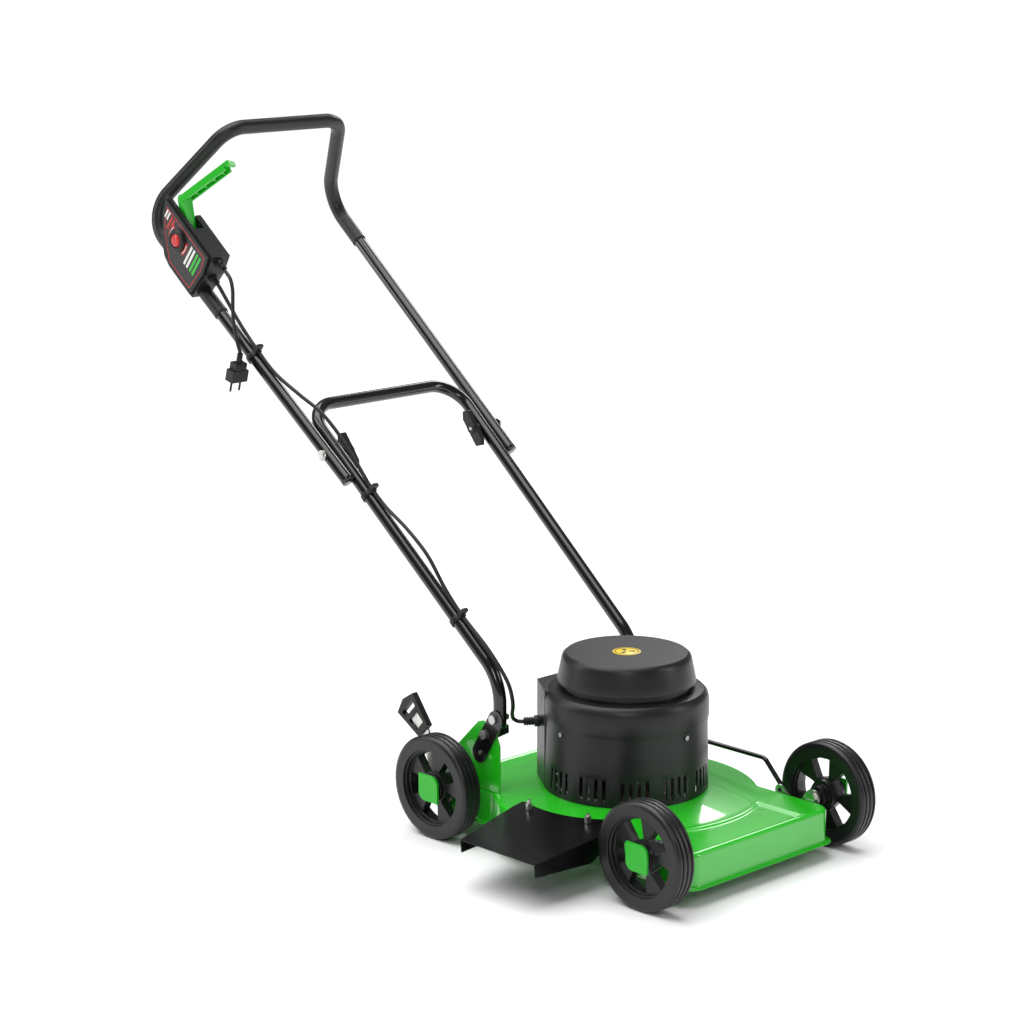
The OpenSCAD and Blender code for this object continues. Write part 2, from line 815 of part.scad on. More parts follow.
module blade_hub() {
    color("gainsboro") difference() {
        union() {
            translate([0, 0, blade_z + blade_t]) cylinder(r = hub_r, h = 8, $fn = small_fn);
            translate([0, 0, blade_z + blade_t]) cylinder(r = 16, h = 34, $fn = small_fn);
        }
        translate([0, 0, blade_z + blade_t + 12]) cylinder(r = shaft_r, h = 40, $fn = small_fn);
        translate([0, 0, blade_z]) cylinder(d = 10 + 2 * fit, h = 40, $fn = small_fn);
    }
}

module cutting_blade() {
    half = blade_len / 2;
    color("silver") difference() {
        union() {
            translate([-half, -blade_w / 2, blade_z]) cube([blade_len, blade_w, blade_t]);
            // Raised wings at the trailing edges of the tips
            for (a = [0, 180])
                rotate(a)
                    translate([half - 72, blade_w / 2 - 1, blade_z])
                        rotate([38, 0, 0])
                            cube([60, 16, blade_t]);
        }
        translate([0, 0, blade_z - 1]) cylinder(d = 10 + 2 * fit, h = blade_t + 2, $fn = small_fn);
        intersection() {
            translate([-half - 5, -blade_w, blade_z - 1]) cube([blade_len + 10, 2 * blade_w, 30]);
            difference() {
                translate([0, 0, blade_z - 2]) cylinder(r = half + 40, h = 40, $fn = round_fn);
                translate([0, 0, blade_z - 3]) cylinder(r = half, h = 42, $fn = round_fn);
            }
        }
    }
}

module blade_bolt() {
    color("dimgray") {
        translate([0, 0, blade_z - 8]) hex(17, 6);
        translate([0, 0, blade_z - 2]) cylinder(d = 30, h = 2, $fn = small_fn);
        translate([0, 0, blade_z - 3]) cylinder(d = 10, h = blade_t + 14, $fn = small_fn);
    }
}

// ---- axles, wheels and height adjustment ----

bush_r = crank_d / 2 + 3;
pin_r = wheel_pin_d / 2;

// Flanged plastic bushes in the deck's side walls
module axle_bushes() {
    color("dimgray") for (c = [front_shaft, rear_shaft]) for (side = [-1, 1]) difference() {
        union() {
            cross_pin(c[0], c[1], deck_half_w - 6, deck_half_w + 0.5, bush_r, side);
            cross_pin(c[0], c[1], deck_half_w, deck_half_w + bush_flange, bush_r + 2, side);
        }
        cross_pin(c[0], c[1], deck_half_w - 9, deck_half_w + 9, crank_d / 2 + fit, side);
    }
}

// Shaft, with a plate welded to each end: one arm holds the wheel, the other the link
module crank_axle(c) {
    cross_pin(c[0], c[1], -crank_y - crank_t, crank_y + crank_t, crank_d / 2, 1);
    for (side = [-1, 1]) difference() {
        side_plate(crank_y, crank_t, side) {
            slot_plan(c, c + [arm_x, arm_z], 14);
            slot_plan(c, c + link_pin, 10);
        }
        cross_pin(c[0] + arm_x, c[1] + arm_z, crank_y - 3, crank_y + 9, pin_r, side);
        cross_pin(c[0] + link_pin[0], c[1] + link_pin[1], crank_y - 3, crank_y + 9,
            link_d / 2 + 0.5, side);
    }
}

module rear_crank_axle() {
    color("silver") crank_axle(rear_shaft);
}

module front_crank_axle() {
    color("silver") crank_axle(front_shaft);
}

// Shouldered pins that the wheels turn on, with a nut inside and a retaining head outside
module wheel_pins(x) {
    inner = crank_y - 4.5;
    outer = wheel_out - 8;
    for (side = [-1, 1]) {
        cross_pin(x, wheel_r, inner, outer, pin_r, side);
        cross_pin(x, wheel_r, crank_y + crank_t, wheel_in - 13, pin_r + 3, side);
        cross_pin(x, wheel_r, outer - 3, outer, pin_r + 4, side);
        translate([x, side * inner + (side > 0 ? 4.5 : 0), wheel_r])
            rotate([90, 0, 0])
                hex(19, 4.5);
    }
}

module rear_wheel_pins() {
    color("silver") wheel_pins(-rear_axle_x);
}

module front_wheel_pins() {
    color("silver") wheel_pins(front_axle_x);
}

lever_knee = [-290, 156];
lever_tip = [-318, 182];
grip_base = [-295, 163];
grip_end = [-336, 200];

// Flat steel lever, welded to the right-hand rear crank plate
module height_lever() {
    color("silver") difference() {
        side_plate(crank_y + crank_t, crank_t, -1) {
            slot_plan(rear_shaft, lever_knee, 10);
            slot_plan(lever_knee, lever_tip, 10);
            translate(rear_shaft) circle(r = 16, $fn = small_fn);
        }
        side_plate(crank_y + crank_t - 1, crank_t + 2, -1)
            translate(rear_shaft)
                circle(r = 3, $fn = small_fn);
    }
}

// Ladder-shaped plastic grip, wider at the top, with two windows
module lever_grip() {
    long = unit(grip_end - grip_base);
    wide = [long[1], -long[0]];
    run = norm(grip_end - grip_base);
    function at(l, w) = grip_base + l * long + w * wide;
    color([0.07, 0.07, 0.07]) difference() {
        side_plate(crank_y + crank_t - 3.5, crank_t + 7, -1) difference() {
            polygon([at(-6, -16), at(-6, 16), at(run, 28), at(run + 8, 0), at(run, -28)]);
            polygon([at(6, -11.5), at(6, 11.5), at(run * 0.52, 15), at(run * 0.52, -15)]);
            polygon([at(run * 0.66, -16), at(run * 0.66, 16), at(run - 7, 19), at(run - 7, -19)]);
        }
        side_plate(crank_y + crank_t - fit, crank_t + 2 * fit, -1) {
            slot_plan(lever_knee, lever_tip, 10 + fit);
            slot_plan(rear_shaft, lever_knee, 10 + fit);
        }
    }
}

quadrant_r = 74;
notch_step = 10;

// Notched plate on the deck wall that the lever springs into, with its riveted stem
module height_quadrant() {
    color("silver") side_plate(deck_half_w + gap, 2, -1) {
        difference() {
            intersection() {
                translate(rear_shaft) circle(r = quadrant_r + 8, $fn = round_fn);
                translate(rear_shaft + [-34, 26]) square([72, 60]);
            }
            translate(rear_shaft) circle(r = quadrant_r - 10, $fn = round_fn);
            for (k = [0 : 4])
                translate(rear_shaft)
                    rotate(114 - notch_step * k)
                        translate([quadrant_r + 4, -2])
                            square([8, 4]);
        }
        translate([rear_shaft[0] - 6, deck_top - 20]) square([20, quadrant_r - 24]);
    }
}

// Link between the two left-hand crank plates, raised to pass over the deck
module link_rod() {
    a = front_shaft + link_pin;
    b = rear_shaft + link_pin;
    y = link_y;
    color([0.08, 0.08, 0.08]) {
        bent_bar(
            [[a[0], y, a[1]], [a[0] - 42, y, a[1] + link_rise],
             [b[0] + 42, y, b[1] + link_rise], [b[0], y, b[1]]],
            [0, 16, 16, 0], link_d / 2);
        for (p = [a, b]) {
            cross_pin(p[0], p[1], crank_y - 1, y, link_d / 2, 1);
            translate([p[0], y, p[1]]) sphere(d = link_d, $fn = small_fn);
        }
    }
}

tread_grooves = 3;
groove_w = 3.2;
groove_deep = 2.4;
dish_r = 64.5;
web_out = 12;
web_t = 16;
hub_boss_r = 23;
spokes = 5;
spoke_phase = 78;

// One-piece moulded wheel: ribbed tread, deep dish, five flared spokes and a hub
module wheel_body(flip) {
    half = wheel_w / 2;
    rib = wheel_w / (tread_grooves + 1);
    window_out = dish_r - 5;
    window_in = hub_boss_r + 5;
    rotate([90 * flip, 0, 0]) difference() {
        union() {
            difference() {
                rotate_extrude($fn = round_fn)
                    polygon([
                        [dish_r, half], [wheel_r - 7, half], [wheel_r - 2.4, half - 1.4],
                        [wheel_r, half - 4.5], [wheel_r, -half + 4.5],
                        [wheel_r - 2.4, -half + 1.4], [wheel_r - 7, -half], [dish_r, -half]
                    ]);
                for (k = [1 : tread_grooves])
                    translate([0, 0, -half + rib * k - groove_w / 2]) difference() {
                        cylinder(r = wheel_r + 1, h = groove_w, $fn = round_fn);
                        translate([0, 0, -1])
                            cylinder(r = wheel_r - groove_deep, h = groove_w + 2, $fn = round_fn);
                    }
            }
            // Step inside the dish
            translate([0, 0, -half + 5]) difference() {
                cylinder(r = dish_r + 0.5, h = wheel_w - 10, $fn = round_fn);
                translate([0, 0, -1]) cylinder(r = dish_r - 3, h = wheel_w, $fn = round_fn);
            }
            translate([0, 0, half - web_out - web_t])
                cylinder(r = dish_r, h = web_t, $fn = round_fn);
            translate([0, 0, -half - 12]) cylinder(r = hub_boss_r - 6, h = wheel_w + 6, $fn = small_fn);
            translate([0, 0, half - web_out - web_t - 8])
                cylinder(r = hub_boss_r + 1, h = web_out + web_t + 4, $fn = small_fn);
        }
        // Windows between the spokes
        for (k = [0 : spokes - 1])
            rotate(spoke_phase + 36 + 72 * k)
                translate([0, 0, half - web_out - web_t - 1])
                    linear_extrude(web_t + 2)
                        polygon([
                            [window_in * cos(26), -window_in * sin(26)],
                            [window_out * cos(19), -window_out * sin(19)],
                            [window_out, 0],
                            [window_out * cos(19), window_out * sin(19)],
                            [window_in * cos(26), window_in * sin(26)]
                        ]);
        translate([0, 0, -half - 20]) cylinder(r = pin_r + fit, h = wheel_w + 40, $fn = small_fn);
        // Pocket for the retaining head of the pin
        translate([0, 0, half - 11.5]) cylinder(r = pin_r + 5, h = 20, $fn = small_fn);
    }
}

// Leaf-shaped cap clipped on the hub: two round and two sharp corners
module cap_plate(flip) {
    half = wheel_w / 2;
    w = 22.5;
    r = 15;
    rotate([90 * flip, 0, 0]) {
        translate([0, 0, half - 1]) linear_extrude(4) union() {
            polygon([[-w, w], [w - r, w], [w, w - r], [w, -w], [-w + r, -w], [-w, -w + r]]);
            translate([w - r, w - r]) circle(r = r, $fn = small_fn);
            translate([-w + r, -w + r]) circle(r = r, $fn = small_fn);
        }
        translate([0, 0, half - 5]) difference() {
            cylinder(r = pin_r + 5 - fit, h = 5, $fn = small_fn);
            translate([0, 0, -1]) cylinder(r = pin_r + 3.4, h = 5, $fn = small_fn);
        }
    }
}

module wheel_at(x, side) {
    translate([x, side * track / 2, wheel_r]) wheel_body(-side);
}

module cap_at(x, side) {
    color(deck_green) translate([x, side * track / 2, wheel_r]) cap_plate(-side);
}

tyre_black = [0.09, 0.09, 0.09];

module wheel_front_right() { color(tyre_black) wheel_at(front_axle_x, -1); }
module wheel_front_left() { color(tyre_black) wheel_at(front_axle_x, 1); }
module wheel_rear_right() { color(tyre_black) wheel_at(-rear_axle_x, -1); }
module wheel_rear_left() { color(tyre_black) wheel_at(-rear_axle_x, 1); }
module cap_front_right() { cap_at(front_axle_x, -1); }
module cap_front_left() { cap_at(front_axle_x, 1); }
module cap_rear_right() { cap_at(-rear_axle_x, -1); }
module cap_rear_left() { cap_at(-rear_axle_x, 1); }

// ---- handle ----

pivot_r = 4;
fold_r = 3;
tube_black = [0.05, 0.05, 0.05];

module tube_shape(path, bends) {
    difference() {
        bent_bar(path, bends, tube_r);
        bent_bar(path, bends, tube_r - tube_t, 2);
    }
}

module lower_handle() {
    color(tube_black) difference() {
        tube_shape(lower_path, lower_bends);
        for (side = [-1, 1]) {
            cross_pin(-fold_back, fold_z, lower_half - 20, lower_half + 20, fold_r + fit, side);
            cross_pin(tube_bolt[0], tube_bolt[1], foot_y - 20, foot_y + 20, pivot_r, side);
        }
    }
}

strap_top = [-131, 210];
strap_low = [-170, 146];
strap_r = 16;

// Flat straps from the tube ends to the deck brackets
module handle_straps() {
    color(tube_black) for (side = [-1, 1]) difference() {
        side_plate(strap_y, strap_t, side) slot_plan(strap_top, strap_low, strap_r);
        cross_pin(tube_bolt[0], tube_bolt[1], strap_y - 5, strap_y + 8, pivot_r, side);
        cross_pin(pivot[0], pivot[1], strap_y - 5, strap_y + 8, pivot_r, side);
    }
}

head_h = 4.5;

// Screws through the straps: one into the tube end, one that the handle pivots on
module strap_bolts() {
    out = strap_y + strap_t;
    color("silver") for (side = [-1, 1]) {
        cross_pin(tube_bolt[0], tube_bolt[1], foot_y - tube_r - 2, out + 1, pivot_r, side);
        cross_pin(tube_bolt[0], tube_bolt[1], out, out + head_h, 7.5, side);
        cross_pin(tube_bolt[0], tube_bolt[1], foot_y - tube_r - 5, foot_y - tube_r, 6.5, side);
        cross_pin(pivot[0], pivot[1], knob_low_y - 12, out + 1, pivot_r, side);
        cross_pin(pivot[0], pivot[1], out, out + head_h, 7.5, side);
        cross_pin(strap_low[0] + 4, strap_low[1] + 2, out, out + 2.5, 3.2, side);
    }
}

// Screws of the upper fold, with wide domed heads outside
module fold_bolts() {
    out = upper_half + tube_r + 0.6;
    color("silver") for (side = [-1, 1]) {
        cross_pin(-fold_back, fold_z, knob_up_y - 12, out + 1, fold_r, side);
        cross_pin(-fold_back, fold_z, out, out + 3, 9.5, side);
        cross_pin(-fold_back, fold_z, out + 2.5, out + 5, 6.5, side);
    }
}

knob_low_y = bracket_y - bracket_t - gap - 20;
knob_up_y = lower_half - tube_r - gap - 7;

// Wing nut: round boss against the joint, two flat wings further in
module wing_knob(c, y_face, y_wing, radius, thread_r, turn, side) {
    color([0.06, 0.06, 0.06]) difference() {
        union() {
            cross_pin(c[0], c[1], y_wing - 2, y_face, 7.5, side);
            side_plate(y_wing - 9, 9, side) intersection() {
                translate(c)
                    rotate(turn)
                        polygon([
                            [-radius, -6], [-radius + 12, -13], [radius - 4, -7],
                            [radius, 6], [radius - 12, 13], [-radius + 4, 7]
                        ]);
                translate(c) circle(r = radius + 4, $fn = small_fn);
            }
            cross_pin(c[0], c[1], y_wing - 12, y_wing, 9, side);
        }
        cross_pin(c[0], c[1], y_wing - 20, y_face + 5, thread_r + fit, side);
    }
}

module knob_lower(side) {
    wing_knob(pivot, bracket_y - bracket_t - gap, knob_low_y, 27, pivot_r, 20, side);
}

module knob_upper(side) {
    wing_knob([-fold_back, fold_z], lower_half - tube_r - gap, knob_up_y, 36, fold_r, -58, side);
}

module knob_lower_right() { knob_lower(-1); }
module knob_lower_left() { knob_lower(1); }
module knob_upper_right() { knob_upper(-1); }
module knob_upper_left() { knob_upper(1); }

module upper_handle() {
    color(tube_black) difference() {
        tube_shape(upper_path, upper_bends);
        for (side = [-1, 1])
            cross_pin(-fold_back, fold_z, upper_half - 20, upper_half + 20, fold_r, side);
    }
}

sleeve_far_s = 473;
sleeve_near_s = 341;

// Soft sleeve around the whole grip loop
module grip_sleeve() {
    path = [
        upper_at(sleeve_near_s, -1), grip_foot(-1), grip_top(-1),
        grip_top(1), grip_foot(1), upper_at(sleeve_far_s, 1)
    ];
    color([0.12, 0.12, 0.12]) difference() {
        bent_bar(path, upper_bends, sleeve_r);
        bent_bar(upper_path, upper_bends, tube_r + 0.02);
    }
}

gland_b = [36, 70];
gland_y = -205;
gland_r = 8.5;
box_s = 402;
box_b0 = -15;
box_b1 = 82;
box_mid_y = -(upper_half + splay * 470) ;
box_y0 = box_mid_y - box_w / 2;
bezel = 9;
button_at = [box_s + 84, 44];
well_deep = 10;
// Room behind the stop button for its travel, and how far the lever's pin enters the front wall
button_room = 3.6;
pin_hold = 2.6;

// Draws a plan in the leg's own (s, b) axes and gives it thickness in Y
module on_leg(y0, y1) {
    on_frame([-fold_back, y0, fold_z], up_dir(upper_slope), fwd_dir(upper_slope))
        linear_extrude(y1 - y0)
            children();
}

// Outline of the switch box: straight sides, curved back and pointed top
module box_plan(inset) {
    s0 = box_s + inset;
    b0 = box_b0 + inset;
    b1 = box_b1 - inset;
    tip = box_s + box_len + 48 - 1.6 * inset;
    polygon([
        [s0, b0], [s0 - 6, (b0 + b1) / 2 + 10], [s0, b1], [tip, b1], [tip - 10, b1 - 26],
        [tip - 24, b1 - 46], [tip - 40, b0 + 20], [tip - 58, b0 + 5], [s0 + box_len - 40, b0]
    ]);
}

module switch_box() {
    color(cover_black) difference() {
        union() {
            on_leg(box_y0 + 5, box_y0 + box_w) box_plan(0);
            on_leg(box_y0, box_y0 + 6) box_plan(4);
        }
        bent_bar(upper_path, upper_bends, sleeve_r);
        // Recess for the front panel and the button's well
        on_leg(box_y0 - 1, box_y0 + 1.2) box_plan(bezel);
        on_leg(box_y0 - 2, box_y0 + well_deep)
            translate(button_at)
                circle(d = button_d + 18, $fn = round_fn);
        // Slot that the lever swings in, and the open space behind the thin pointed top
        on_leg(box_mid_y - lever_w / 2 - 1.5, box_mid_y + lever_w / 2 + 1.5)
            translate([lever_s - 14, lever_b - 13])
                square([60, 60]);
        on_leg(box_mid_y - lever_w / 2 - 1.5, box_y0 + box_w + 1)
            translate([lever_s + 17, lever_b - 34])
                square([100, 80]);
        for (b = gland_b)
            bar(beside(box_s + 12, b, gland_y), beside(box_s - 20, b, gland_y), gland_r);
    }
    // Pin across the slot, for the lever
    color("silver")
        bar(beside(lever_s, lever_b, box_mid_y - lever_w / 2 - pin_hold),
            beside(lever_s, lever_b, box_mid_y + lever_w / 2 + 4), lever_pin_r);
}

// Front panel with the fixed ring around the button
module switch_panel() {
    color([0.25, 0.03, 0.03]) {
        on_leg(box_y0 + 0.1, box_y0 + 1.2) difference() {
            box_plan(bezel + 0.2);
            translate(button_at) circle(d = button_d + 17, $fn = round_fn);
        }
        on_leg(box_y0 - 5, box_y0 + well_deep - 1) difference() {
            translate(button_at) circle(d = button_d + 17.8, $fn = round_fn);
            translate(button_at) circle(d = button_d + 1, $fn = round_fn);
        }
    }
}

module stop_button() {
    color("red") on_leg(box_y0 - 4, box_y0 + well_deep - button_room)
        translate(button_at)
            circle(d = button_d, $fn = round_fn);
}

// Two screwed glands under the box
module switch_glands() {
    color([0.06, 0.06, 0.06]) for (b = gland_b) difference() {
        union() {
            bar(beside(box_s + 6, b, gland_y), beside(box_s - 10, b, gland_y), gland_r);
            bar(beside(box_s - 8, b, gland_y), beside(box_s - 20, b, gland_y), gland_r - 2);
        }
        bar(beside(box_s + 9, b, gland_y), beside(box_s - 21, b, gland_y), lead_d / 2 + fit);
    }
}

lever_w = 18;
lever_s = 488;
lever_b = 56;
lever_pin_r = 3;
lever_root_r = 9;
// From the pin to the elbow along the leg and off it, and from the elbow to the tip
elbow_at = [46, 39];
grip_reach = [84, 43, 67];
grip_w = 22;
grip_start = 3;
rib_step = 21;

// Squeeze lever: short root, elbow and long ribbed grip beside the tube
module switch_lever() {
    root = beside(lever_s, lever_b, box_mid_y);
    elbow = beside(lever_s + elbow_at[0], lever_b + elbow_at[1], box_mid_y);
    tip = elbow + grip_reach;
    run = unit(tip - elbow);
    across = unit(cross(run, [0, 1, 0]));
    wide = cross(run, across);
    color("lime") {
        difference() {
            on_leg(box_mid_y - lever_w / 2, box_mid_y + lever_w / 2) {
                slot_plan([lever_s, lever_b], [lever_s, lever_b] + elbow_at, lever_root_r);
            }
            bar(root - [0, lever_w, 0], root + [0, lever_w, 0], lever_pin_r + fit);
        }
        on_frame(elbow - 5 * run, run, wide) {
            translate([grip_start, -grip_w / 2, -6])
                cube([norm(tip - elbow) - grip_start, grip_w, 5]);
            for (side = [-1, 1])
                translate([grip_start, side * (grip_w - 4) / 2 - 2, -6])
                    cube([norm(tip - elbow) - 10 - grip_start, 4, 13]);
            for (k = [0 : 4])
                translate([rib_step * k + 8, -grip_w / 2 + 1, -6]) cube([3, grip_w - 2, 11]);
            // Hooked end
            translate([norm(tip - elbow) - 4, -grip_w / 2, -6]) cube([6, grip_w, 9]);
        }
    }
}

// Snap ties that hold the motor lead to the right leg
module tie(p, axis_dir, lead_dir) {
    e = cross(axis_dir, lead_dir);
    reach = tube_r + lead_d / 2 + 1.6;
    color([0.07, 0.07, 0.07]) on_frame(p, lead_dir, e) translate([0, 0, -5]) difference() {
        union() {
            cylinder(r = tube_r + 2.4, h = 10, $fn = small_fn);
            translate([reach, 0, 0]) cylinder(r = lead_d / 2 + 2.6, h = 10, $fn = small_fn);
            translate([reach + 4, -6, 2]) cube([9, 12, 6]);
        }
        translate([0, 0, -1]) cylinder(r = tube_r + 0.15, h = 12, $fn = small_fn);
        translate([reach, 0, -1]) cylinder(r = lead_d / 2 + 0.6, h = 12, $fn = small_fn);
    }
}

module lower_clips() {
    tie(lower_at(-98, -1), -up_dir(lower_slope), fwd_dir(lower_slope));
    tie(lower_at(-376, -1), -up_dir(lower_slope), fwd_dir(lower_slope));
}

module upper_clips() {
    tie(upper_at(236, -1), -up_dir(upper_slope), fwd_dir(upper_slope));
}

module motor_lead_lower() { color([0.04, 0.04, 0.04]) sweep_tube(lower_lead_points, lead_d, 3, 8); }
module motor_lead_upper() { color([0.04, 0.04, 0.04]) sweep_tube(upper_lead_points, lead_d, 3, 8); }
module mains_cord() { color([0.04, 0.04, 0.04]) sweep_tube(mains_points, cord_d, 3, 8); }

plug_top = mains_points[len(mains_points) - 1];
plug_tilt = 15;

// Moulded plug with a ribbed relief and two round pins
module mains_plug() {
    translate(plug_top) rotate([180, plug_tilt, 0]) {
        color([0.1, 0.1, 0.1]) {
            for (k = [0 : 3])
                translate([0, 0, 4.4 * k]) cylinder(r1 = 4.6, r2 = 5.4, h = 3, $fn = 24);
            cylinder(r = 4, h = 20, $fn = 24);
            translate([0, 0, 17]) linear_extrude(34) square([17, 24], center = true);
            translate([0, 0, 30]) linear_extrude(21) square([19, 34], center = true);
        }
        color("silver") for (y = [-1, 1])
            translate([0, y * pin_pitch / 2, 51])
                cylinder(d = pin_d, h = pin_len, $fn = small_fn);
    }
}

place() deck_pan();
place() handle_brackets();
place() discharge_chute();
place() chute_bolts();
place() motor_cover();
place() motor_cap();
place() cover_screws();
place() cable_gland();
place() stator_core();
place() stator_windings();
place() motor_base();
place() motor_top_bracket();
place() motor_bolts();
place() motor_bearings();
place() capacitor();
place() axle_bushes();
place() height_quadrant();
place() rotor_shaft();
place() rotor_core();
place() cooling_fan();
place() blade_hub();
place() cutting_blade();
place() blade_bolt();
place() rear_crank_axle();
place() height_lever();
place() lever_grip();
place() rear_wheel_pins();
place() front_crank_axle();
place() front_wheel_pins();
place() link_rod();
place() wheel_front_right();
place() wheel_front_left();
place() wheel_rear_right();
place() wheel_rear_left();
place() cap_front_right();
place() cap_front_left();
place() cap_rear_right();
place() cap_rear_left();
place() lower_handle();
place() handle_straps();
place() strap_bolts();
place() motor_lead_lower();
place() lower_clips();
place() knob_lower_right();
place() knob_lower_left();
place() knob_upper_right();
place() knob_upper_left();
place() upper_handle();
place() grip_sleeve();
place() switch_box();
place() switch_panel();
place() switch_glands();
place() switch_lever();
place() stop_button();
place() fold_bolts();
place() motor_lead_upper();
place() upper_clips();
place() mains_cord();
place() mains_plug();
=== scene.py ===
import json
import math

import bmesh
import bpy
from mathutils import Matrix, Vector


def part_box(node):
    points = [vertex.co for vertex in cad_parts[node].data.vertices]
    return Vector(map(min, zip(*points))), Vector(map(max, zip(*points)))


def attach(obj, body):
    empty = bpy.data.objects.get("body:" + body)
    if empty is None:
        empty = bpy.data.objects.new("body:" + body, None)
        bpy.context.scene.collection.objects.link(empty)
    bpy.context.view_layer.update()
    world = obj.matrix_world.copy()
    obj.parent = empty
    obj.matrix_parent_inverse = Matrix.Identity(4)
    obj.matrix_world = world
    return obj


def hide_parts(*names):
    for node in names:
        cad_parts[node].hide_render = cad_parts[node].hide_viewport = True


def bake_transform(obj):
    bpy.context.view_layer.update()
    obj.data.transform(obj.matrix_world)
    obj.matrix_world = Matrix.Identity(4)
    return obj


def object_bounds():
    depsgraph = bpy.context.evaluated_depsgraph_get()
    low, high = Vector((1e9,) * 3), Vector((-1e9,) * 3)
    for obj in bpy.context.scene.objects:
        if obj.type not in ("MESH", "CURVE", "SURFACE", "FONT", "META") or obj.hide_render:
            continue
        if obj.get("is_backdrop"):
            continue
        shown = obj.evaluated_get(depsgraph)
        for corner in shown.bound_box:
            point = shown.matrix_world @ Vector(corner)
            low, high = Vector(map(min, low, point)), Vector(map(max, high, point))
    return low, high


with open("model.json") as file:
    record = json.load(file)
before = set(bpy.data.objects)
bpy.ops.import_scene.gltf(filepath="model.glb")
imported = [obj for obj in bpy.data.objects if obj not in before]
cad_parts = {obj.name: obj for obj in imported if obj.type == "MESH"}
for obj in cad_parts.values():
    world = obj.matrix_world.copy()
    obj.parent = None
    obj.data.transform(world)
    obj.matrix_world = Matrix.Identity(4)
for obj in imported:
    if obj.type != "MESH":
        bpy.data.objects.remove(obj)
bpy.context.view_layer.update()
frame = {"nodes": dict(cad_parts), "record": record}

NODES = frame["nodes"]
RECORD = frame["record"]

# The CAD's own middle lies this far from the motor axis, in millimetres
_lo, _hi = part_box("rotor_shaft")
OX = (_lo.x + _hi.x) / 2 * 1000
OY = (_lo.y + _hi.y) / 2 * 1000


def P(x, y, z):
    """A point given from the motor axis in millimetres, in metres in the row frame."""
    return Vector(((x + OX) / 1000, (y + OY) / 1000, z / 1000))


# ---------------------------------------------------------------- camera

AZ, EL = math.radians(45.66), math.radians(12.574)
camera = bpy.data.objects.new("camera", bpy.data.cameras.new("camera"))
bpy.context.scene.collection.objects.link(camera)
back = Vector((math.sin(AZ) * math.cos(EL), -math.cos(AZ) * math.cos(EL), math.sin(EL)))
right = Vector((math.cos(AZ), math.sin(AZ), 0))
up = back.cross(right)
turn = Matrix((right, up, back)).transposed().to_4x4()
camera.matrix_world = Matrix.Translation(P(3062.6, -3218.8, 1552.4)) @ turn
camera.data.sensor_width = 36
camera.data.lens = 2812.2 / 1024 * 36
camera.data.shift_x = -15.99 / 1024
camera.data.shift_y = -5.09 / 1024
camera.data.clip_end = 100
bpy.context.scene.camera = camera

# ---------------------------------------------------------------- materials


def principled(name):
    mat = bpy.data.materials.new(name)
    mat.use_nodes = True
    tree = mat.node_tree
    shader = tree.nodes["Principled BSDF"]
    coords = tree.nodes.new("ShaderNodeTexCoord")
    return mat, tree, shader, coords.outputs["Object"]


def noise(tree, coords, scale, detail=3.0, rough=0.55, stretch=None):
    if stretch:
        mapping = tree.nodes.new("ShaderNodeMapping")
        mapping.inputs["Scale"].default_value = stretch
        tree.links.new(coords, mapping.inputs["Vector"])
        coords = mapping.outputs["Vector"]
    n = tree.nodes.new("ShaderNodeTexNoise")
    n.inputs["Scale"].default_value = scale
    n.inputs["Detail"].default_value = detail
    n.inputs["Roughness"].default_value = rough
    tree.links.new(coords, n.inputs["Vector"])
    return n.outputs["Fac"]


def ramp(tree, value, stops):
    r = tree.nodes.new("ShaderNodeValToRGB")
    while len(r.color_ramp.elements) < len(stops):
        r.color_ramp.elements.new(0.5)
    for e, (pos, col) in zip(r.color_ramp.elements, stops):
        e.position = pos
        e.color = (*col, 1) if len(col) == 3 else col
    tree.links.new(value, r.inputs["Fac"])
    return r.outputs["Color"]


def span(tree, value, low, high, a=0.3, b=0.7):
    m = tree.nodes.new("ShaderNodeMapRange")
    m.inputs["From Min"].default_value = a
    m.inputs["From Max"].default_value = b
    m.inputs["To Min"].default_value = low
    m.inputs["To Max"].default_value = high
    tree.links.new(value, m.inputs["Value"])
    return m.outputs["Result"]


def bump(tree, shader, height, distance, strength=1.0, chain=None):
    b = tree.nodes.new("ShaderNodeBump")
    b.inputs["Distance"].default_value = distance
    b.inputs["Strength"].default_value = strength
    tree.links.new(height, b.inputs["Height"])
    if chain is not None:
        tree.links.new(chain, b.inputs["Normal"])
    tree.links.new(b.outputs["Normal"], shader.inputs["Normal"])
    return b.outputs["Normal"]


def shade(col, k):
    return tuple(min(1.0, c * k) for c in col)


def surface(name, colour, rough, metallic=0.0, grain=900, depth=0.00004, spread=0.12,
            rough_spread=0.08, coat=0.0, coat_rough=0.05, stretch=None, waviness=0.0,
            specular=0.5, patches=14, strength=1.0, tint=None):
    """Material with slow colour drift, roughness breakup and a fine grain."""
    mat, tree, shader, coords = principled(name)
    slow = noise(tree, coords, patches, 4)
    fine = noise(tree, coords, grain, 3, 0.6, stretch)
    light = tint or shade(colour, 1 + spread)
    tree.links.new(
        ramp(tree, slow, [(0.30, shade(colour, 1 - spread)), (0.52, colour), (0.75, light)]),
        shader.inputs["Base Color"])
    tree.links.new(span(tree, fine, rough - rough_spread, rough + rough_spread),
                   shader.inputs["Roughness"])
    chain = None
    if waviness:
        wave = noise(tree, coords, 22, 1.5)
        chain = bump(tree, shader, wave, waviness, 1.0)
    if depth:
        bump(tree, shader, fine, depth, strength, chain)
    shader.inputs["Metallic"].default_value = metallic
    shader.inputs["Specular IOR Level"].default_value = specular
    if coat:
        shader.inputs["Coat Weight"].default_value = coat
        shader.inputs["Coat Roughness"].default_value = coat_rough
    return mat


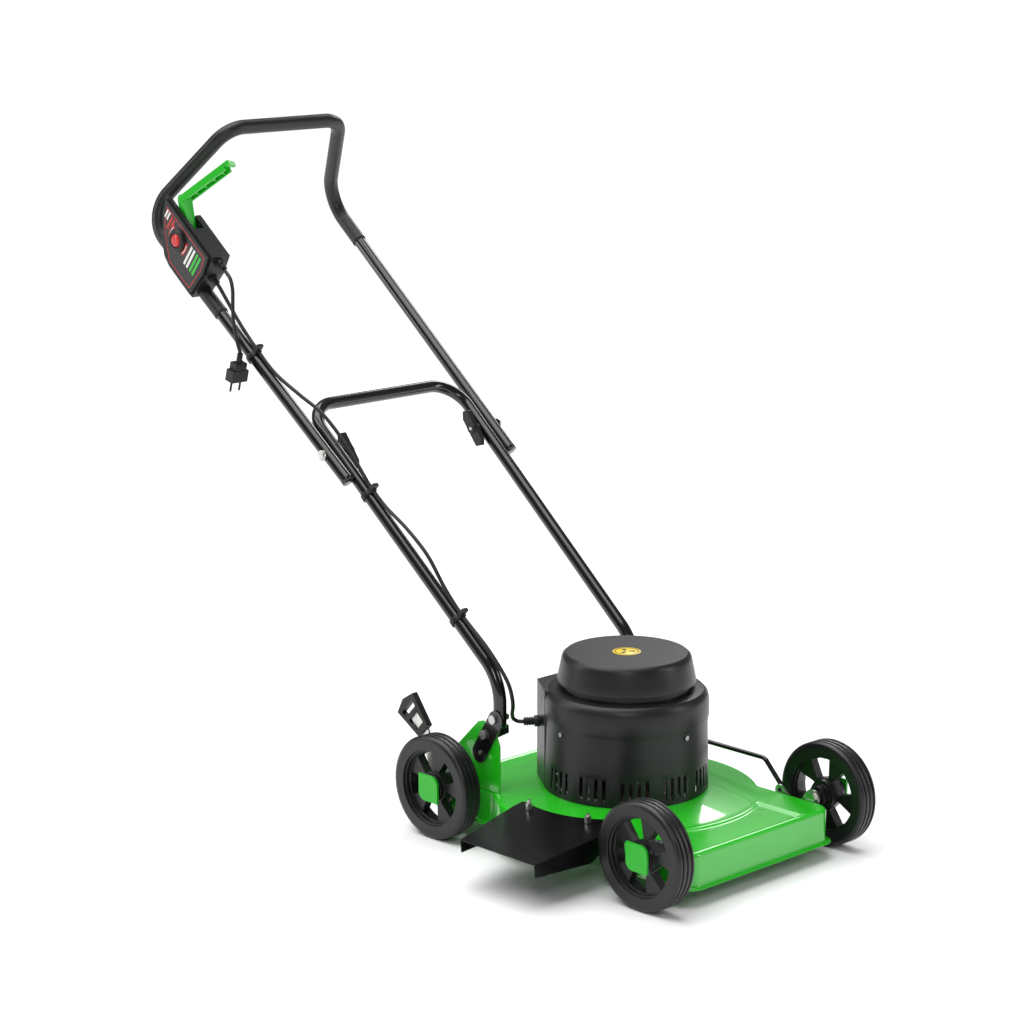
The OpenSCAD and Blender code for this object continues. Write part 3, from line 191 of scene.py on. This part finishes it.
GREEN = (0.014, 0.50, 0.009)
M = {
    "green_paint": surface("green_paint", GREEN, 0.30, grain=420, depth=0.00001, spread=0.06,
                           rough_spread=0.03, coat=1.0, coat_rough=0.035, waviness=0.00012,
                           specular=0.5, patches=7),
    "black_paint": surface("black_paint", (0.004, 0.004, 0.0045), 0.20, grain=700,
                           depth=0.000005, spread=0.2, rough_spread=0.03, coat=0.6,
                           coat_rough=0.05, specular=0.4),
    "chute_paint": surface("chute_paint", (0.0025, 0.0025, 0.003), 0.26, grain=900,
                           depth=0.000006, spread=0.2, rough_spread=0.03, specular=0.25),
    "black_plastic": surface("black_plastic", (0.0065, 0.0065, 0.007), 0.42, grain=1500,
                             depth=0.00005, spread=0.18, rough_spread=0.06, specular=0.40),
    "cover_plastic": surface("cover_plastic", (0.0080, 0.0080, 0.0088), 0.38, grain=1300,
                             depth=0.00005, spread=0.15, rough_spread=0.05, specular=0.42,
                             waviness=0.0001),
    "wheel_plastic": surface("wheel_plastic", (0.0045, 0.0045, 0.005), 0.36, grain=800,
                             depth=0.00003, spread=0.25, rough_spread=0.07, specular=0.5),
    "green_plastic": surface("green_plastic", (0.012, 0.44, 0.012), 0.33, grain=1000,
                             depth=0.00002, spread=0.07, rough_spread=0.04),
    "red_plastic": surface("red_plastic", (0.55, 0.008, 0.008), 0.34, grain=900,
                           depth=0.00002, spread=0.1, rough_spread=0.04, coat=0.3),
    "panel_black": surface("panel_black", (0.010, 0.010, 0.011), 0.35, grain=1000,
                           depth=0.00001, spread=0.15, rough_spread=0.05),
    "panel_red": surface("panel_red", (0.50, 0.012, 0.010), 0.35, grain=1000, depth=0.00001,
                         spread=0.08, rough_spread=0.04),
    "panel_white": surface("panel_white", (0.75, 0.75, 0.73), 0.4, grain=1000, depth=0.00001,
                           spread=0.05, rough_spread=0.04),
    "panel_green": surface("panel_green", (0.03, 0.45, 0.03), 0.4, grain=1000, depth=0.00001,
                           spread=0.06, rough_spread=0.04),
    "zinc_steel": surface("zinc_steel", (0.58, 0.58, 0.56), 0.30, metallic=1.0, grain=260,
                          depth=0.00002, spread=0.12, rough_spread=0.10, patches=60,
                          stretch=(1, 6, 6), tint=(0.70, 0.69, 0.63)),
    "core_steel": surface("core_steel", (0.30, 0.30, 0.31), 0.45, metallic=0.9, grain=40,
                          depth=0.0003, spread=0.15, stretch=(1, 1, 30)),
    "copper": surface("copper", (0.55, 0.20, 0.08), 0.32, metallic=0.8, grain=90,
                      depth=0.0004, spread=0.2, stretch=(1, 1, 12), coat=0.4),
    "aluminium": surface("aluminium", (0.62, 0.62, 0.63), 0.42, metallic=1.0, grain=500,
                         depth=0.00008, spread=0.08, rough_spread=0.1),
    "white_plastic": surface("white_plastic", (0.72, 0.72, 0.70), 0.35, grain=900,
                             depth=0.00002, spread=0.05),
    "cable_rubber": surface("cable_rubber", (0.006, 0.006, 0.006), 0.45, grain=1100,
                            depth=0.00004, spread=0.25, rough_spread=0.08),
    "grip_foam": surface("grip_foam", (0.0055, 0.0055, 0.0058), 0.42, grain=1600,
                         depth=0.00006, spread=0.25, rough_spread=0.08),
    "blade_steel": surface("blade_steel", (0.25, 0.25, 0.26), 0.36, metallic=1.0, grain=200,
                           depth=0.00003, spread=0.15, stretch=(0.2, 6, 6)),
    "sticker_yellow": surface("sticker_yellow", (0.80, 0.58, 0.03), 0.35, grain=900,
                              depth=0.00001, spread=0.05),
    "sticker_black": surface("sticker_black", (0.02, 0.02, 0.02), 0.35, grain=900,
                             depth=0.00001, spread=0.1),
}

SLOT_OF = {s["node"]: s["material_slot"] for s in RECORD["subparts"]}
BODY_OF = {n: b for b, ns in RECORD["behaviour"]["bodies"].items() for n in ns}
FINISH = {n: SLOT_OF[n] for n in SLOT_OF}
FINISH.update({
    "motor_cover": "cover_plastic", "motor_cap": "cover_plastic", "grip_sleeve": "grip_foam",
    "cutting_blade": "blade_steel", "switch_panel": "panel_black",
    "discharge_chute": "chute_paint",
})
BEVEL = {
    "discharge_chute": 0.5, "handle_brackets": 0.5, "motor_cover": 0.9, "motor_cap": 0.9,
    "switch_box": 1.6, "switch_panel": 0.4, "stop_button": 1.2, "switch_lever": 1.2,
    "lever_grip": 1.2, "height_lever": 0.5, "height_quadrant": 0.3, "handle_straps": 0.5,
    "strap_bolts": 0.8, "fold_bolts": 0.9, "chute_bolts": 0.4, "cable_gland": 0.5,
    "switch_glands": 0.5, "lower_clips": 0.6, "upper_clips": 0.6, "mains_plug": 0.8,
    "cover_screws": 0.4, "rear_crank_axle": 0.5, "front_crank_axle": 0.5,
    "rear_wheel_pins": 0.5, "front_wheel_pins": 0.5, "cutting_blade": 0.3, "blade_hub": 0.6,
    "blade_bolt": 0.5, "axle_bushes": 0.4, "cooling_fan": 0.4, "capacitor": 0.8,
}
for n in NODES:
    if n.startswith("wheel_"):
        BEVEL[n] = 0.9
    elif n.startswith("cap_"):
        BEVEL[n] = 1.0
    elif n.startswith("knob_"):
        BEVEL[n] = 1.3


def round_edges(obj, width_mm, angle=32, segments=3):
    weld = obj.modifiers.new("weld", "WELD")
    weld.merge_threshold = 0.00001
    bev = obj.modifiers.new("bevel", "BEVEL")
    bev.width = width_mm / 1000
    bev.segments = segments
    bev.limit_method = "ANGLE"
    bev.angle_limit = math.radians(angle)
    bev.harden_normals = True
    bev.miter_outer = "MITER_ARC"


for n, obj in NODES.items():
    obj.data.materials.clear()
    obj.data.materials.append(M[FINISH[n]])
    if n in BEVEL:
        round_edges(obj, BEVEL[n])

# ---------------------------------------------------------------- mesh helpers


def new_mesh(name, verts, faces, mat, body=None, stands_for=(), flat=False):
    mesh = bpy.data.meshes.new(name)
    mesh.from_pydata([tuple(v) for v in verts], [], faces)
    mesh.validate()
    bm = bmesh.new()
    bm.from_mesh(mesh)
    bmesh.ops.recalc_face_normals(bm, faces=bm.faces)
    bm.to_mesh(mesh)
    bm.free()
    if not flat:
        mesh.shade_smooth()
    obj = bpy.data.objects.new(name, mesh)
    bpy.context.scene.collection.objects.link(obj)
    for m in (mat if isinstance(mat, list) else [mat]):
        mesh.materials.append(M[m])
    if body:
        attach(obj, body)
    if stands_for:
        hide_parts(*stands_for)
    return obj


def frames(pts):
    """Directions and one steady side vector at each point of a path."""
    n = len(pts)
    dirs = [(pts[min(i + 1, n - 1)] - pts[max(i - 1, 0)]).normalized() for i in range(n)]
    side = dirs[0].cross(Vector((0.3, -0.5, 0.8))).normalized()
    sides = []
    for d in dirs:
        side = (side - d * side.dot(d)).normalized()
        sides.append(side)
    return dirs, sides


def sweep(pts, radius, sides=32, closed_ends=True):
    """Round tube along points; radius is a number or a function of the distance along it."""
    dirs, across = frames(pts)
    verts, faces, along = [], [], 0.0
    for i, p in enumerate(pts):
        if i:
            along += (pts[i] - pts[i - 1]).length
        r = radius(along) if callable(radius) else radius
        other = dirs[i].cross(across[i])
        for k in range(sides):
            a = 2 * math.pi * k / sides
            verts.append(p + across[i] * (r * math.cos(a)) + other * (r * math.sin(a)))
    for i in range(len(pts) - 1):
        for k in range(sides):
            j = (k + 1) % sides
            faces.append((i * sides + k, i * sides + j, (i + 1) * sides + j,
                          (i + 1) * sides + k))
    if closed_ends:
        faces.append(tuple(range(sides)))
        faces.append(tuple((len(pts) - 1) * sides + k for k in range(sides)))
    return verts, faces


def rounded_path(corners, bends, step=0.006):
    """Points along straight runs joined by true arcs."""
    out = []
    n = len(corners)
    for i, c in enumerate(corners):
        if i in (0, n - 1) or bends[i] == 0:
            out.append(c.copy())
            continue
        d1 = (c - corners[i - 1]).normalized()
        d2 = (corners[i + 1] - c).normalized()
        ang = d1.angle(d2)
        r = bends[i] / 1000
        cut = r * math.tan(ang / 2)
        inward = (d2 - d1 * d1.dot(d2)).normalized()
        start = c - d1 * cut
        centre = start + inward * r
        steps = max(6, int(ang * r / 0.003))
        for k in range(steps + 1):
            a = ang * k / steps
            out.append(centre - inward * (r * math.cos(a)) + d1 * (r * math.sin(a)))
    dense = [out[0]]
    for p in out[1:]:
        gap = (p - dense[-1]).length
        parts = max(1, int(gap / step))
        first = dense[-1]
        for k in range(1, parts + 1):
            dense.append(first.lerp(p, k / parts))
    return dense


def lathe(profile, centre, steps=160, closed=True):
    """Turns (radius, height) points, in millimetres, about the vertical through centre."""
    verts, faces = [], []
    n = len(profile)
    for k in range(steps):
        a = 2 * math.pi * k / steps
        for r, z in profile:
            verts.append(P(centre[0] + r * math.cos(a), centre[1] + r * math.sin(a), z))
    last = n if closed else n - 1
    for k in range(steps):
        j = (k + 1) % steps
        for i in range(last):
            m = (i + 1) % n
            faces.append((k * n + i, j * n + i, j * n + m, k * n + m))
    return verts, faces


def catmull(pts, steps):
    out = []
    n = len(pts)
    for i in range(n - 1):
        a, b, c, d = (pts[max(i - 1, 0)], pts[i], pts[i + 1], pts[min(i + 2, n - 1)])
        for k in range(steps):
            u = k / steps
            out.append(0.5 * (2 * b + (c - a) * u + (2 * a - 5 * b + 4 * c - d) * u * u
                              + (3 * b - a - 3 * c + d) * u ** 3))
    out.append(pts[-1].copy())
    return out


# ---------------------------------------------------------------- cords

MAINS = [(-781, -205, 896), (-768, -205, 886), (-757, -206, 876), (-747, -210, 858), (-740, -216, 834),
         (-729, -224, 806), (-714, -230, 780), (-702, -232, 757)]
mains_route = catmull([P(*p) for p in MAINS], 6)
v, f = sweep(mains_route, 0.0032, 20)
mains = new_mesh("mains_lead", v, f, "cable_rubber", "upper_frame", ["mains_cord"])

LOWER_LEAD = [(-126, -113, 197), (-132, -121, 198), (-134, -129, 204), (-128, -137, 216),
              (-117, -146, 231), (-112, -153, 250), (-115, -158, 272), (-132, -161, 297),
              (-166, -162, 329), (-222, -162, 370), (-260, -164, 408), (-301, -165, 457),
              (-350, -166, 494), (-402, -167, 524), (-435, -168, 550), (-444, -169, 559)]
UPPER_LEAD = [(-445, -169, 560), (-481, -170, 599), (-517, -173, 636), (-555, -179, 668),
              (-599, -188, 693), (-651, -197, 724), (-695, -200, 760), (-734, -203, 798),
              (-768, -204, 835), (-791, -205, 861), (-803, -205, 870.5)]


def lead(name, pts, node):
    v, f = sweep(catmull([P(*p) for p in pts], 8), 0.0033, 20)
    obj = new_mesh(name, v, f, "cable_rubber", None, [node])
    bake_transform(obj)
    return obj


lead("lead_on_lower_leg", LOWER_LEAD, "motor_lead_lower")
lead("lead_on_upper_leg", UPPER_LEAD, "motor_lead_upper")

# ---------------------------------------------------------------- tubes

FOLD = (-520.0, 600.0)


def leg(slope, half, lean, s, side):
    c, n = math.cos(math.radians(slope)), math.sin(math.radians(slope))
    return P(FOLD[0] - s * c, side * (half + lean * s), FOLD[1] + s * n)


def upper_at(s, side):
    return leg(38.4, 192.5, 0.03, s, side)


def lower_at(s, side):
    return leg(40.0, 169.3, 0.02, s, side)


def grip_top(side):
    foot = upper_at(593, side)
    c, n = math.cos(math.radians(50)), math.sin(math.radians(50))
    y = side * (192.5 + 0.03 * 593 - 82)
    return Vector((foot.x + 0.207 * c, (y + OY) / 1000, foot.z + 0.207 * n))


upper_corners = [upper_at(-64, -1), upper_at(593, -1), grip_top(-1), grip_top(1),
                 upper_at(593, 1), upper_at(-64, 1)]
upper_bends = [0, 58, 50, 50, 58, 0]
knee_s = (-520 + 134) / math.cos(math.radians(40))


def foot(side):
    k = lower_at(knee_s, side)
    return Vector((k.x, k.y, 0.196))


lower_corners = [foot(-1), lower_at(knee_s, -1), lower_at(106, -1), lower_at(106, 1),
                 lower_at(knee_s, 1), foot(1)]
lower_bends = [0, 90, 55, 55, 90, 0]

upper_path = rounded_path(upper_corners, upper_bends)
v, f = sweep(upper_path, 0.011, 40)
new_mesh("upper_tube", v, f, "black_paint", "upper_frame", ["upper_handle"])
v, f = sweep(rounded_path(lower_corners, lower_bends), 0.011, 40)
new_mesh("lower_tube", v, f, "black_paint", "lower_frame", ["lower_handle"])

sleeve_path = rounded_path([upper_at(341, -1)] + upper_corners[1:5] + [upper_at(473, 1)],
                           upper_bends, 0.003)
total = sum((b - a).length for a, b in zip(sleeve_path, sleeve_path[1:]))


def sleeve_radius(along):
    end = min(along, total - along)
    lip = 0.0133 if end < 0.005 else 0.0129
    return lip - (0.0008 if end < 0.0008 else 0)


v, f = sweep(sleeve_path, sleeve_radius, 40)
new_mesh("soft_grip", v, f, "grip_foam", "upper_frame", ["grip_sleeve"])

# Link rod on the left, over the deck
lo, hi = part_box("link_rod")
yl = (hi.y - 0.004)
arm = (50 * math.cos(math.radians(55)), 50 * math.sin(math.radians(55)))
pin = (55 * math.cos(math.radians(136.5)), 55 * math.sin(math.radians(136.5)))
fx, fz = 252 - arm[0] + pin[0], 87.5 - arm[1] + pin[1]
bx, bz = -222 - arm[0] + pin[0], 87.5 - arm[1] + pin[1]
ylm = yl * 1000 - OY
rod = rounded_path([P(fx, ylm - 8, fz), P(fx, ylm, fz), P(fx - 42, ylm, fz + 44),
                    P(bx + 42, ylm, bz + 44), P(bx, ylm, bz), P(bx, ylm - 8, bz)],
                   [0, 5, 16, 16, 5, 0], 0.01)
v, f = sweep(rod, 0.004, 24)
new_mesh("link_bar", v, f, "black_paint", "link", ["link_rod"])

# ---------------------------------------------------------------- deck

DECK_R, FRONT, REAR, HALF, CORNER = 222.0, 300.0, 262.0, 171.0, 24.0
REAR_CORNER = 8.0
TOP, BOTTOM, EDGE_R = 85.0, 28.0, 7.0


def rect_radius(a):
    """Distance from the motor axis to the rounded rectangle in direction a."""
    lo_r, hi_r = 100.0, 420.0
    cx, sx = math.cos(a), math.sin(a)
    for _ in range(26):
        m = (lo_r + hi_r) / 2
        x, y = m * cx, m * sx
        mx = (FRONT - REAR) / 2
        hx = (FRONT + REAR) / 2
        c = CORNER if x > 0 else REAR_CORNER
        qx = abs(x - mx) - (hx - c)
        qy = abs(y) - (HALF - c)
        d = math.hypot(max(qx, 0), max(qy, 0)) + min(max(qx, qy), 0) - c
        if d < 0:
            lo_r = m
        else:
            hi_r = m
    return lo_r


def outline_radius(a):
    r1, r2 = DECK_R, rect_radius(a)
    k = 5.0
    h = max(k - abs(r1 - r2), 0) / k
    return max(r1, r2) + h * h * k * 0.25


def smooth(e0, e1, x):
    t = min(max((x - e0) / (e1 - e0), 0), 1)
    return t * t * (3 - 2 * t)


def deck_height(x, y):
    r = math.hypot(x, y)
    z = TOP
    # Cone below the motor, with pressed radii at its foot and its seat
    t = (214 - r) / (214 - 141)
    soft = 0.06
    if t <= -soft:
        c = 0
    elif t < soft:
        c = (t + soft) ** 2 / (4 * soft)
    elif t > 1 + soft:
        c = 1
    elif t > 1 - soft:
        c = 1 - (1 + soft - t) ** 2 / (4 * soft)
    else:
        c = t
    z += 10 * c
    # Sunken front panel and rear strip
    d = max(226 - r, abs(y) - 101, x - 290)
    if x > 0:
        z -= 2.9 * smooth(3.2, -3.2, d)
    else:
        d = max(218 - r, abs(y) - 118, -x - 252)
        z -= 1.6 * smooth(2.4, -2.4, d)
    return z


def build_deck():
    n = 1080
    angles = [2 * math.pi * k / n for k in range(n)]
    out = [outline_radius(a) for a in angles]
    edge = [Vector((out[k] * math.cos(angles[k]), out[k] * math.sin(angles[k]))) for k in range(n)]
    normals = []
    for k in range(n):
        t = edge[(k + 1) % n] - edge[k - 1]
        normals.append(Vector((t.y, -t.x)).normalized())
    rings = []
    inner = 126.0
    count = 88
    for i in range(count + 1):
        t = i / count
        ring = []
        for k in range(n):
            end = edge[k] - normals[k] * EDGE_R
            start = Vector((math.cos(angles[k]), math.sin(angles[k]))) * inner
            p = start.lerp(end, t)
            ring.append((p.x, p.y, deck_height(p.x, p.y)))
        rings.append(ring)
    for i in range(1, 8):
        a = math.pi / 2 * i / 7
        off, drop = EDGE_R * (1 - math.sin(a)), EDGE_R * (1 - math.cos(a))
        rings.append([(edge[k].x - normals[k].x * off, edge[k].y - normals[k].y * off,
                       deck_height(edge[k].x - normals[k].x * EDGE_R,
                                   edge[k].y - normals[k].y * EDGE_R) - drop)
                      for k in range(n)])
    foot_r = 5.0
    for z in (70, 60, 50, 40, BOTTOM + 1.0 + foot_r):
        rings.append([(edge[k].x, edge[k].y, z) for k in range(n)])
    for i in range(1, 6):
        a = math.pi / 2 * i / 5
        off = foot_r * (1 - math.cos(a))
        rings.append([(edge[k].x + normals[k].x * off, edge[k].y + normals[k].y * off,
                       BOTTOM + 1.0 + foot_r - foot_r * math.sin(a)) for k in range(n)])
    rings.append([(edge[k].x + normals[k].x * 8.6, edge[k].y + normals[k].y * 8.6,
                   BOTTOM + 1.0) for k in range(n)])
    rings.append([(edge[k].x + normals[k].x * 9.0, edge[k].y + normals[k].y * 9.0,
                   BOTTOM + 0.2) for k in range(n)])
    verts = [P(*p) for ring in rings for p in ring]
    faces = []
    for i in range(len(rings) - 1):
        for k in range(n):
            j = (k + 1) % n
            x, y, z = rings[i + 1][k]
            if -44 < x < 138 and y < -150 and i >= count + 7 and rings[i][k][2] < 79:
                continue
            faces.append((i * n + k, i * n + j, (i + 1) * n + j, (i + 1) * n + k))
    obj = new_mesh("pressed_deck", verts, faces, "green_paint", "deck", ["deck_pan"])
    return obj


deck = build_deck()
solid = deck.modifiers.new("sheet", "SOLIDIFY")
solid.thickness = 0.0016
solid.offset = -1

# ---------------------------------------------------------------- small moulded detail

SLOPE = math.radians(38.4)
S_DIR = Vector((-math.cos(SLOPE), 0, math.sin(SLOPE)))
B_DIR = Vector((math.sin(SLOPE), 0, math.cos(SLOPE)))
BOX_Y0 = -(192.5 + 0.03 * 470) - 22
BOX_S = 402
BUTTON = (BOX_S + 84, 44)


def box_point(s_, b_, y_):
    """Point by distance up the leg, distance off it, and Y, all in millimetres."""
    q = Vector((-520, 0, 600)) + S_DIR * s_ + B_DIR * b_
    return P(q.x, y_, q.z)


def flat_piece(name, outlines, y0, y1, mat, body="upper_frame"):
    """Thin plates on the box's face; each outline is a list of (s, b)."""
    verts, faces = [], []
    for outline in outlines:
        n, first = len(outline), len(verts)
        for y in (y0, y1):
            verts += [box_point(p[0], p[1], y) for p in outline]
        faces.append(tuple(first + k for k in range(n)))
        faces.append(tuple(first + n + k for k in reversed(range(n))))
        for k in range(n):
            j = (k + 1) % n
            faces.append((first + k, first + n + k, first + n + j, first + j))
    return new_mesh(name, verts, faces, mat, body, flat=True)


def panel_outline(inset):
    s0, b0, b1 = BOX_S + inset, -15 + inset, 82 - inset
    tip = BOX_S + 112 + 48 - 1.6 * inset
    return [(s0, b0), (s0 - 6, 43.5), (s0, b1), (tip, b1), (tip - 10, b1 - 26),
            (tip - 24, b1 - 46), (tip - 40, b0 + 20), (tip - 58, b0 + 5), (s0 + 72, b0)]


def grow(outline, d):
    """Outline moved inwards by d."""
    n = len(outline)
    area2 = sum(outline[k][0] * outline[(k + 1) % n][1] - outline[(k + 1) % n][0] * outline[k][1]
                for k in range(n))
    sign = 1 if area2 > 0 else -1
    out = []
    for k in range(n):
        p0, p1, p2 = (Vector(outline[k - 1]), Vector(outline[k]), Vector(outline[(k + 1) % n]))
        e1, e2 = (p1 - p0).normalized(), (p2 - p1).normalized()
        n1 = Vector((-e1.y, e1.x)) * sign
        n2 = Vector((-e2.y, e2.x)) * sign
        m = (n1 + n2).normalized()
        out.append(tuple(p1 + m * (d / max(0.35, m.dot(n1)))))
    return out


def ring_sector(cs, cb, r0, r1, a0, a1, steps=20):
    arc = [math.radians(a0 + (a1 - a0) * k / steps) for k in range(steps + 1)]
    outer = [(cs + r1 * math.cos(a), cb + r1 * math.sin(a)) for a in arc]
    inner = [(cs + r0 * math.cos(a), cb + r0 * math.sin(a)) for a in reversed(arc)]
    return outer + inner


face = BOX_Y0
# Red border line set into the black face
rim = grow(panel_outline(9), 2.5)
rim_in = grow(panel_outline(9), 4.0)
strips = [[rim[k], rim[(k + 1) % len(rim)], rim_in[(k + 1) % len(rim)], rim_in[k]]
          for k in range(len(rim))]
flat_piece("panel_border", strips, face - 0.15, face + 0.6, "panel_red")
cs, cb = BUTTON
flat_piece("panel_arcs_red", [ring_sector(cs, cb, 21.2, 28, a, a + 62) for a in (150, -30)],
           face - 0.2, face + 0.6, "panel_red")
flat_piece("panel_arcs_white", [ring_sector(cs, cb, 23.6, 25.6, a, a + 44) for a in (160, -20)],
           face - 0.3, face + 0.5, "panel_white")


def bars(s_, b_, w, h, count, step):
    return [[(s_ - k * step, b_), (s_ - k * step, b_ + w), (s_ - k * step - h, b_ + w),
             (s_ - k * step - h, b_)] for k in range(count)]


flat_piece("panel_marks_white", bars(452, 22, 40, 5.2, 2, 9) + bars(540, 52, 16, 4, 2, 7),
           face - 0.2, face + 0.6, "panel_white")
flat_piece("panel_marks_green", bars(433, 22, 40, 5.2, 2, 9), face - 0.2, face + 0.6,
           "panel_green")
flat_piece("panel_marks_red", bars(524, 40, 26, 4.5, 2, 8), face - 0.2, face + 0.6,
           "panel_red")

# Raised collar and dished crown of the stop button
collar = []
crown = []
for k in range(64):
    a = 2 * math.pi * k / 64
    for r, y in ((12.6, 0.5), (12.6, -5.6), (13.6, -6.6), (18.6, -6.6), (20.2, -4.8), (20.2, 0.5)):
        collar.append(box_point(cs + r * math.cos(a), cb + r * math.sin(a), face + y))
    for r, y in ((11.3, -3.5), (11.3, -6.2), (9.8, -7.6), (6, -8.0), (0.01, -7.5)):
        crown.append(box_point(cs + r * math.cos(a), cb + r * math.sin(a), face + y))
new_mesh("button_collar", collar, [(k * 6 + i, ((k + 1) % 64) * 6 + i, ((k + 1) % 64) * 6 + (i + 1) % 6,
                                   k * 6 + (i + 1) % 6) for k in range(64) for i in range(6)],
         "black_plastic", "upper_frame")
new_mesh("button_crown", crown, [(k * 5 + i, ((k + 1) % 64) * 5 + i, ((k + 1) % 64) * 5 + i + 1,
                                 k * 5 + i + 1) for k in range(64) for i in range(4)],
         "red_plastic", "button")

# Round sticker in the middle of the cap, with a plain ring and three bars
disc = []
for r, z in ((0.01, 320.35), (23, 320.35), (23.3, 320.2), (23.3, 319.8)):
    disc.append((r, z))
v, f = lathe(disc, (0, 0), 72, closed=False)
new_mesh("cap_sticker", v, f, "sticker_yellow", "deck")
v, f = lathe([(18.6, 320.3), (18.6, 320.55), (20.2, 320.55), (20.2, 320.3)], (0, 0), 72)
new_mesh("cap_sticker_ring", v, f, "sticker_black", "deck")
v, f = [], []
for k in range(3):
    a = math.radians(40 + 120 * k)
    c, n = math.cos(a), math.sin(a)
    first = len(v)
    for z in (320.3, 320.55):
        for u, w in ((4, -2.2), (14, -3.4), (14, 3.4), (4, 2.2)):
            v.append(P(u * c - w * n, u * n + w * c, z))
    f += [(first, first + 1, first + 2, first + 3), (first + 4, first + 7, first + 6, first + 5)]
    f += [(first + i, first + 4 + i, first + 4 + (i + 1) % 4, first + (i + 1) % 4)
          for i in range(4)]
new_mesh("cap_sticker_bars", v, f, "sticker_black", "deck", flat=True)

# ---------------------------------------------------------------- stage and light


def area(name, place, aim, size, power, colour=(1, 1, 1)):
    data = bpy.data.lights.new(name, "AREA")
    data.shape = "RECTANGLE"
    data.size, data.size_y = size
    data.energy = power
    data.color = colour
    obj = bpy.data.objects.new(name, data)
    bpy.context.scene.collection.objects.link(obj)
    obj.location = place
    obj.rotation_euler = (Vector(aim) - Vector(place)).to_track_quat("-Z", "Y").to_euler()
    return obj


mesh = bpy.data.meshes.new("floor")
mesh.from_pydata([(-90, -90, 0), (90, -90, 0), (90, 90, 0), (-90, 90, 0)], [], [(0, 1, 2, 3)])
floor = bpy.data.objects.new("floor", mesh)
bpy.context.scene.collection.objects.link(floor)
mat, tree, shader, coords = principled("floor_white")
tree.links.new(ramp(tree, noise(tree, coords, 0.6),
                    [(0.3, (0.895, 0.895, 0.90)), (0.7, (0.905, 0.905, 0.91))]),
               shader.inputs["Base Color"])
shader.inputs["Roughness"].default_value = 0.85
shader.inputs["Specular IOR Level"].default_value = 0.0
mesh.materials.append(mat)
floor.location.z = -0.0005
floor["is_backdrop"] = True

world = bpy.data.worlds.new("studio")
bpy.context.scene.world = world
world.use_nodes = True
bg = world.node_tree.nodes["Background"]
bg.inputs["Color"].default_value = (1, 1, 1, 1)
bg.inputs["Strength"].default_value = 0.16

sun = bpy.data.lights.new("overhead", "SUN")
sun.energy = 3.3
sun.angle = math.radians(70)
sun_obj = bpy.data.objects.new("overhead", sun)
bpy.context.scene.collection.objects.link(sun_obj)
sun_obj.rotation_euler = (math.radians(8), math.radians(-14), 0)

area("key", (3.4, -3.4, 3.0), (0.05, 0, 0.3), (1.0, 1.6), 40)
area("side", (-2.9, -2.7, 1.9), (-0.2, 0, 0.5), (0.7, 2.2), 30)
area("rim", (-1.6, 3.3, 2.8), (-0.2, 0, 0.5), (2.0, 1.2), 45)
area("strip", (2.9, 1.9, 1.6), (0, 0, 0.3), (0.5, 2.0), 22)
bpy.context.scene.view_settings.view_transform = "Standard"

lo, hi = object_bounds()
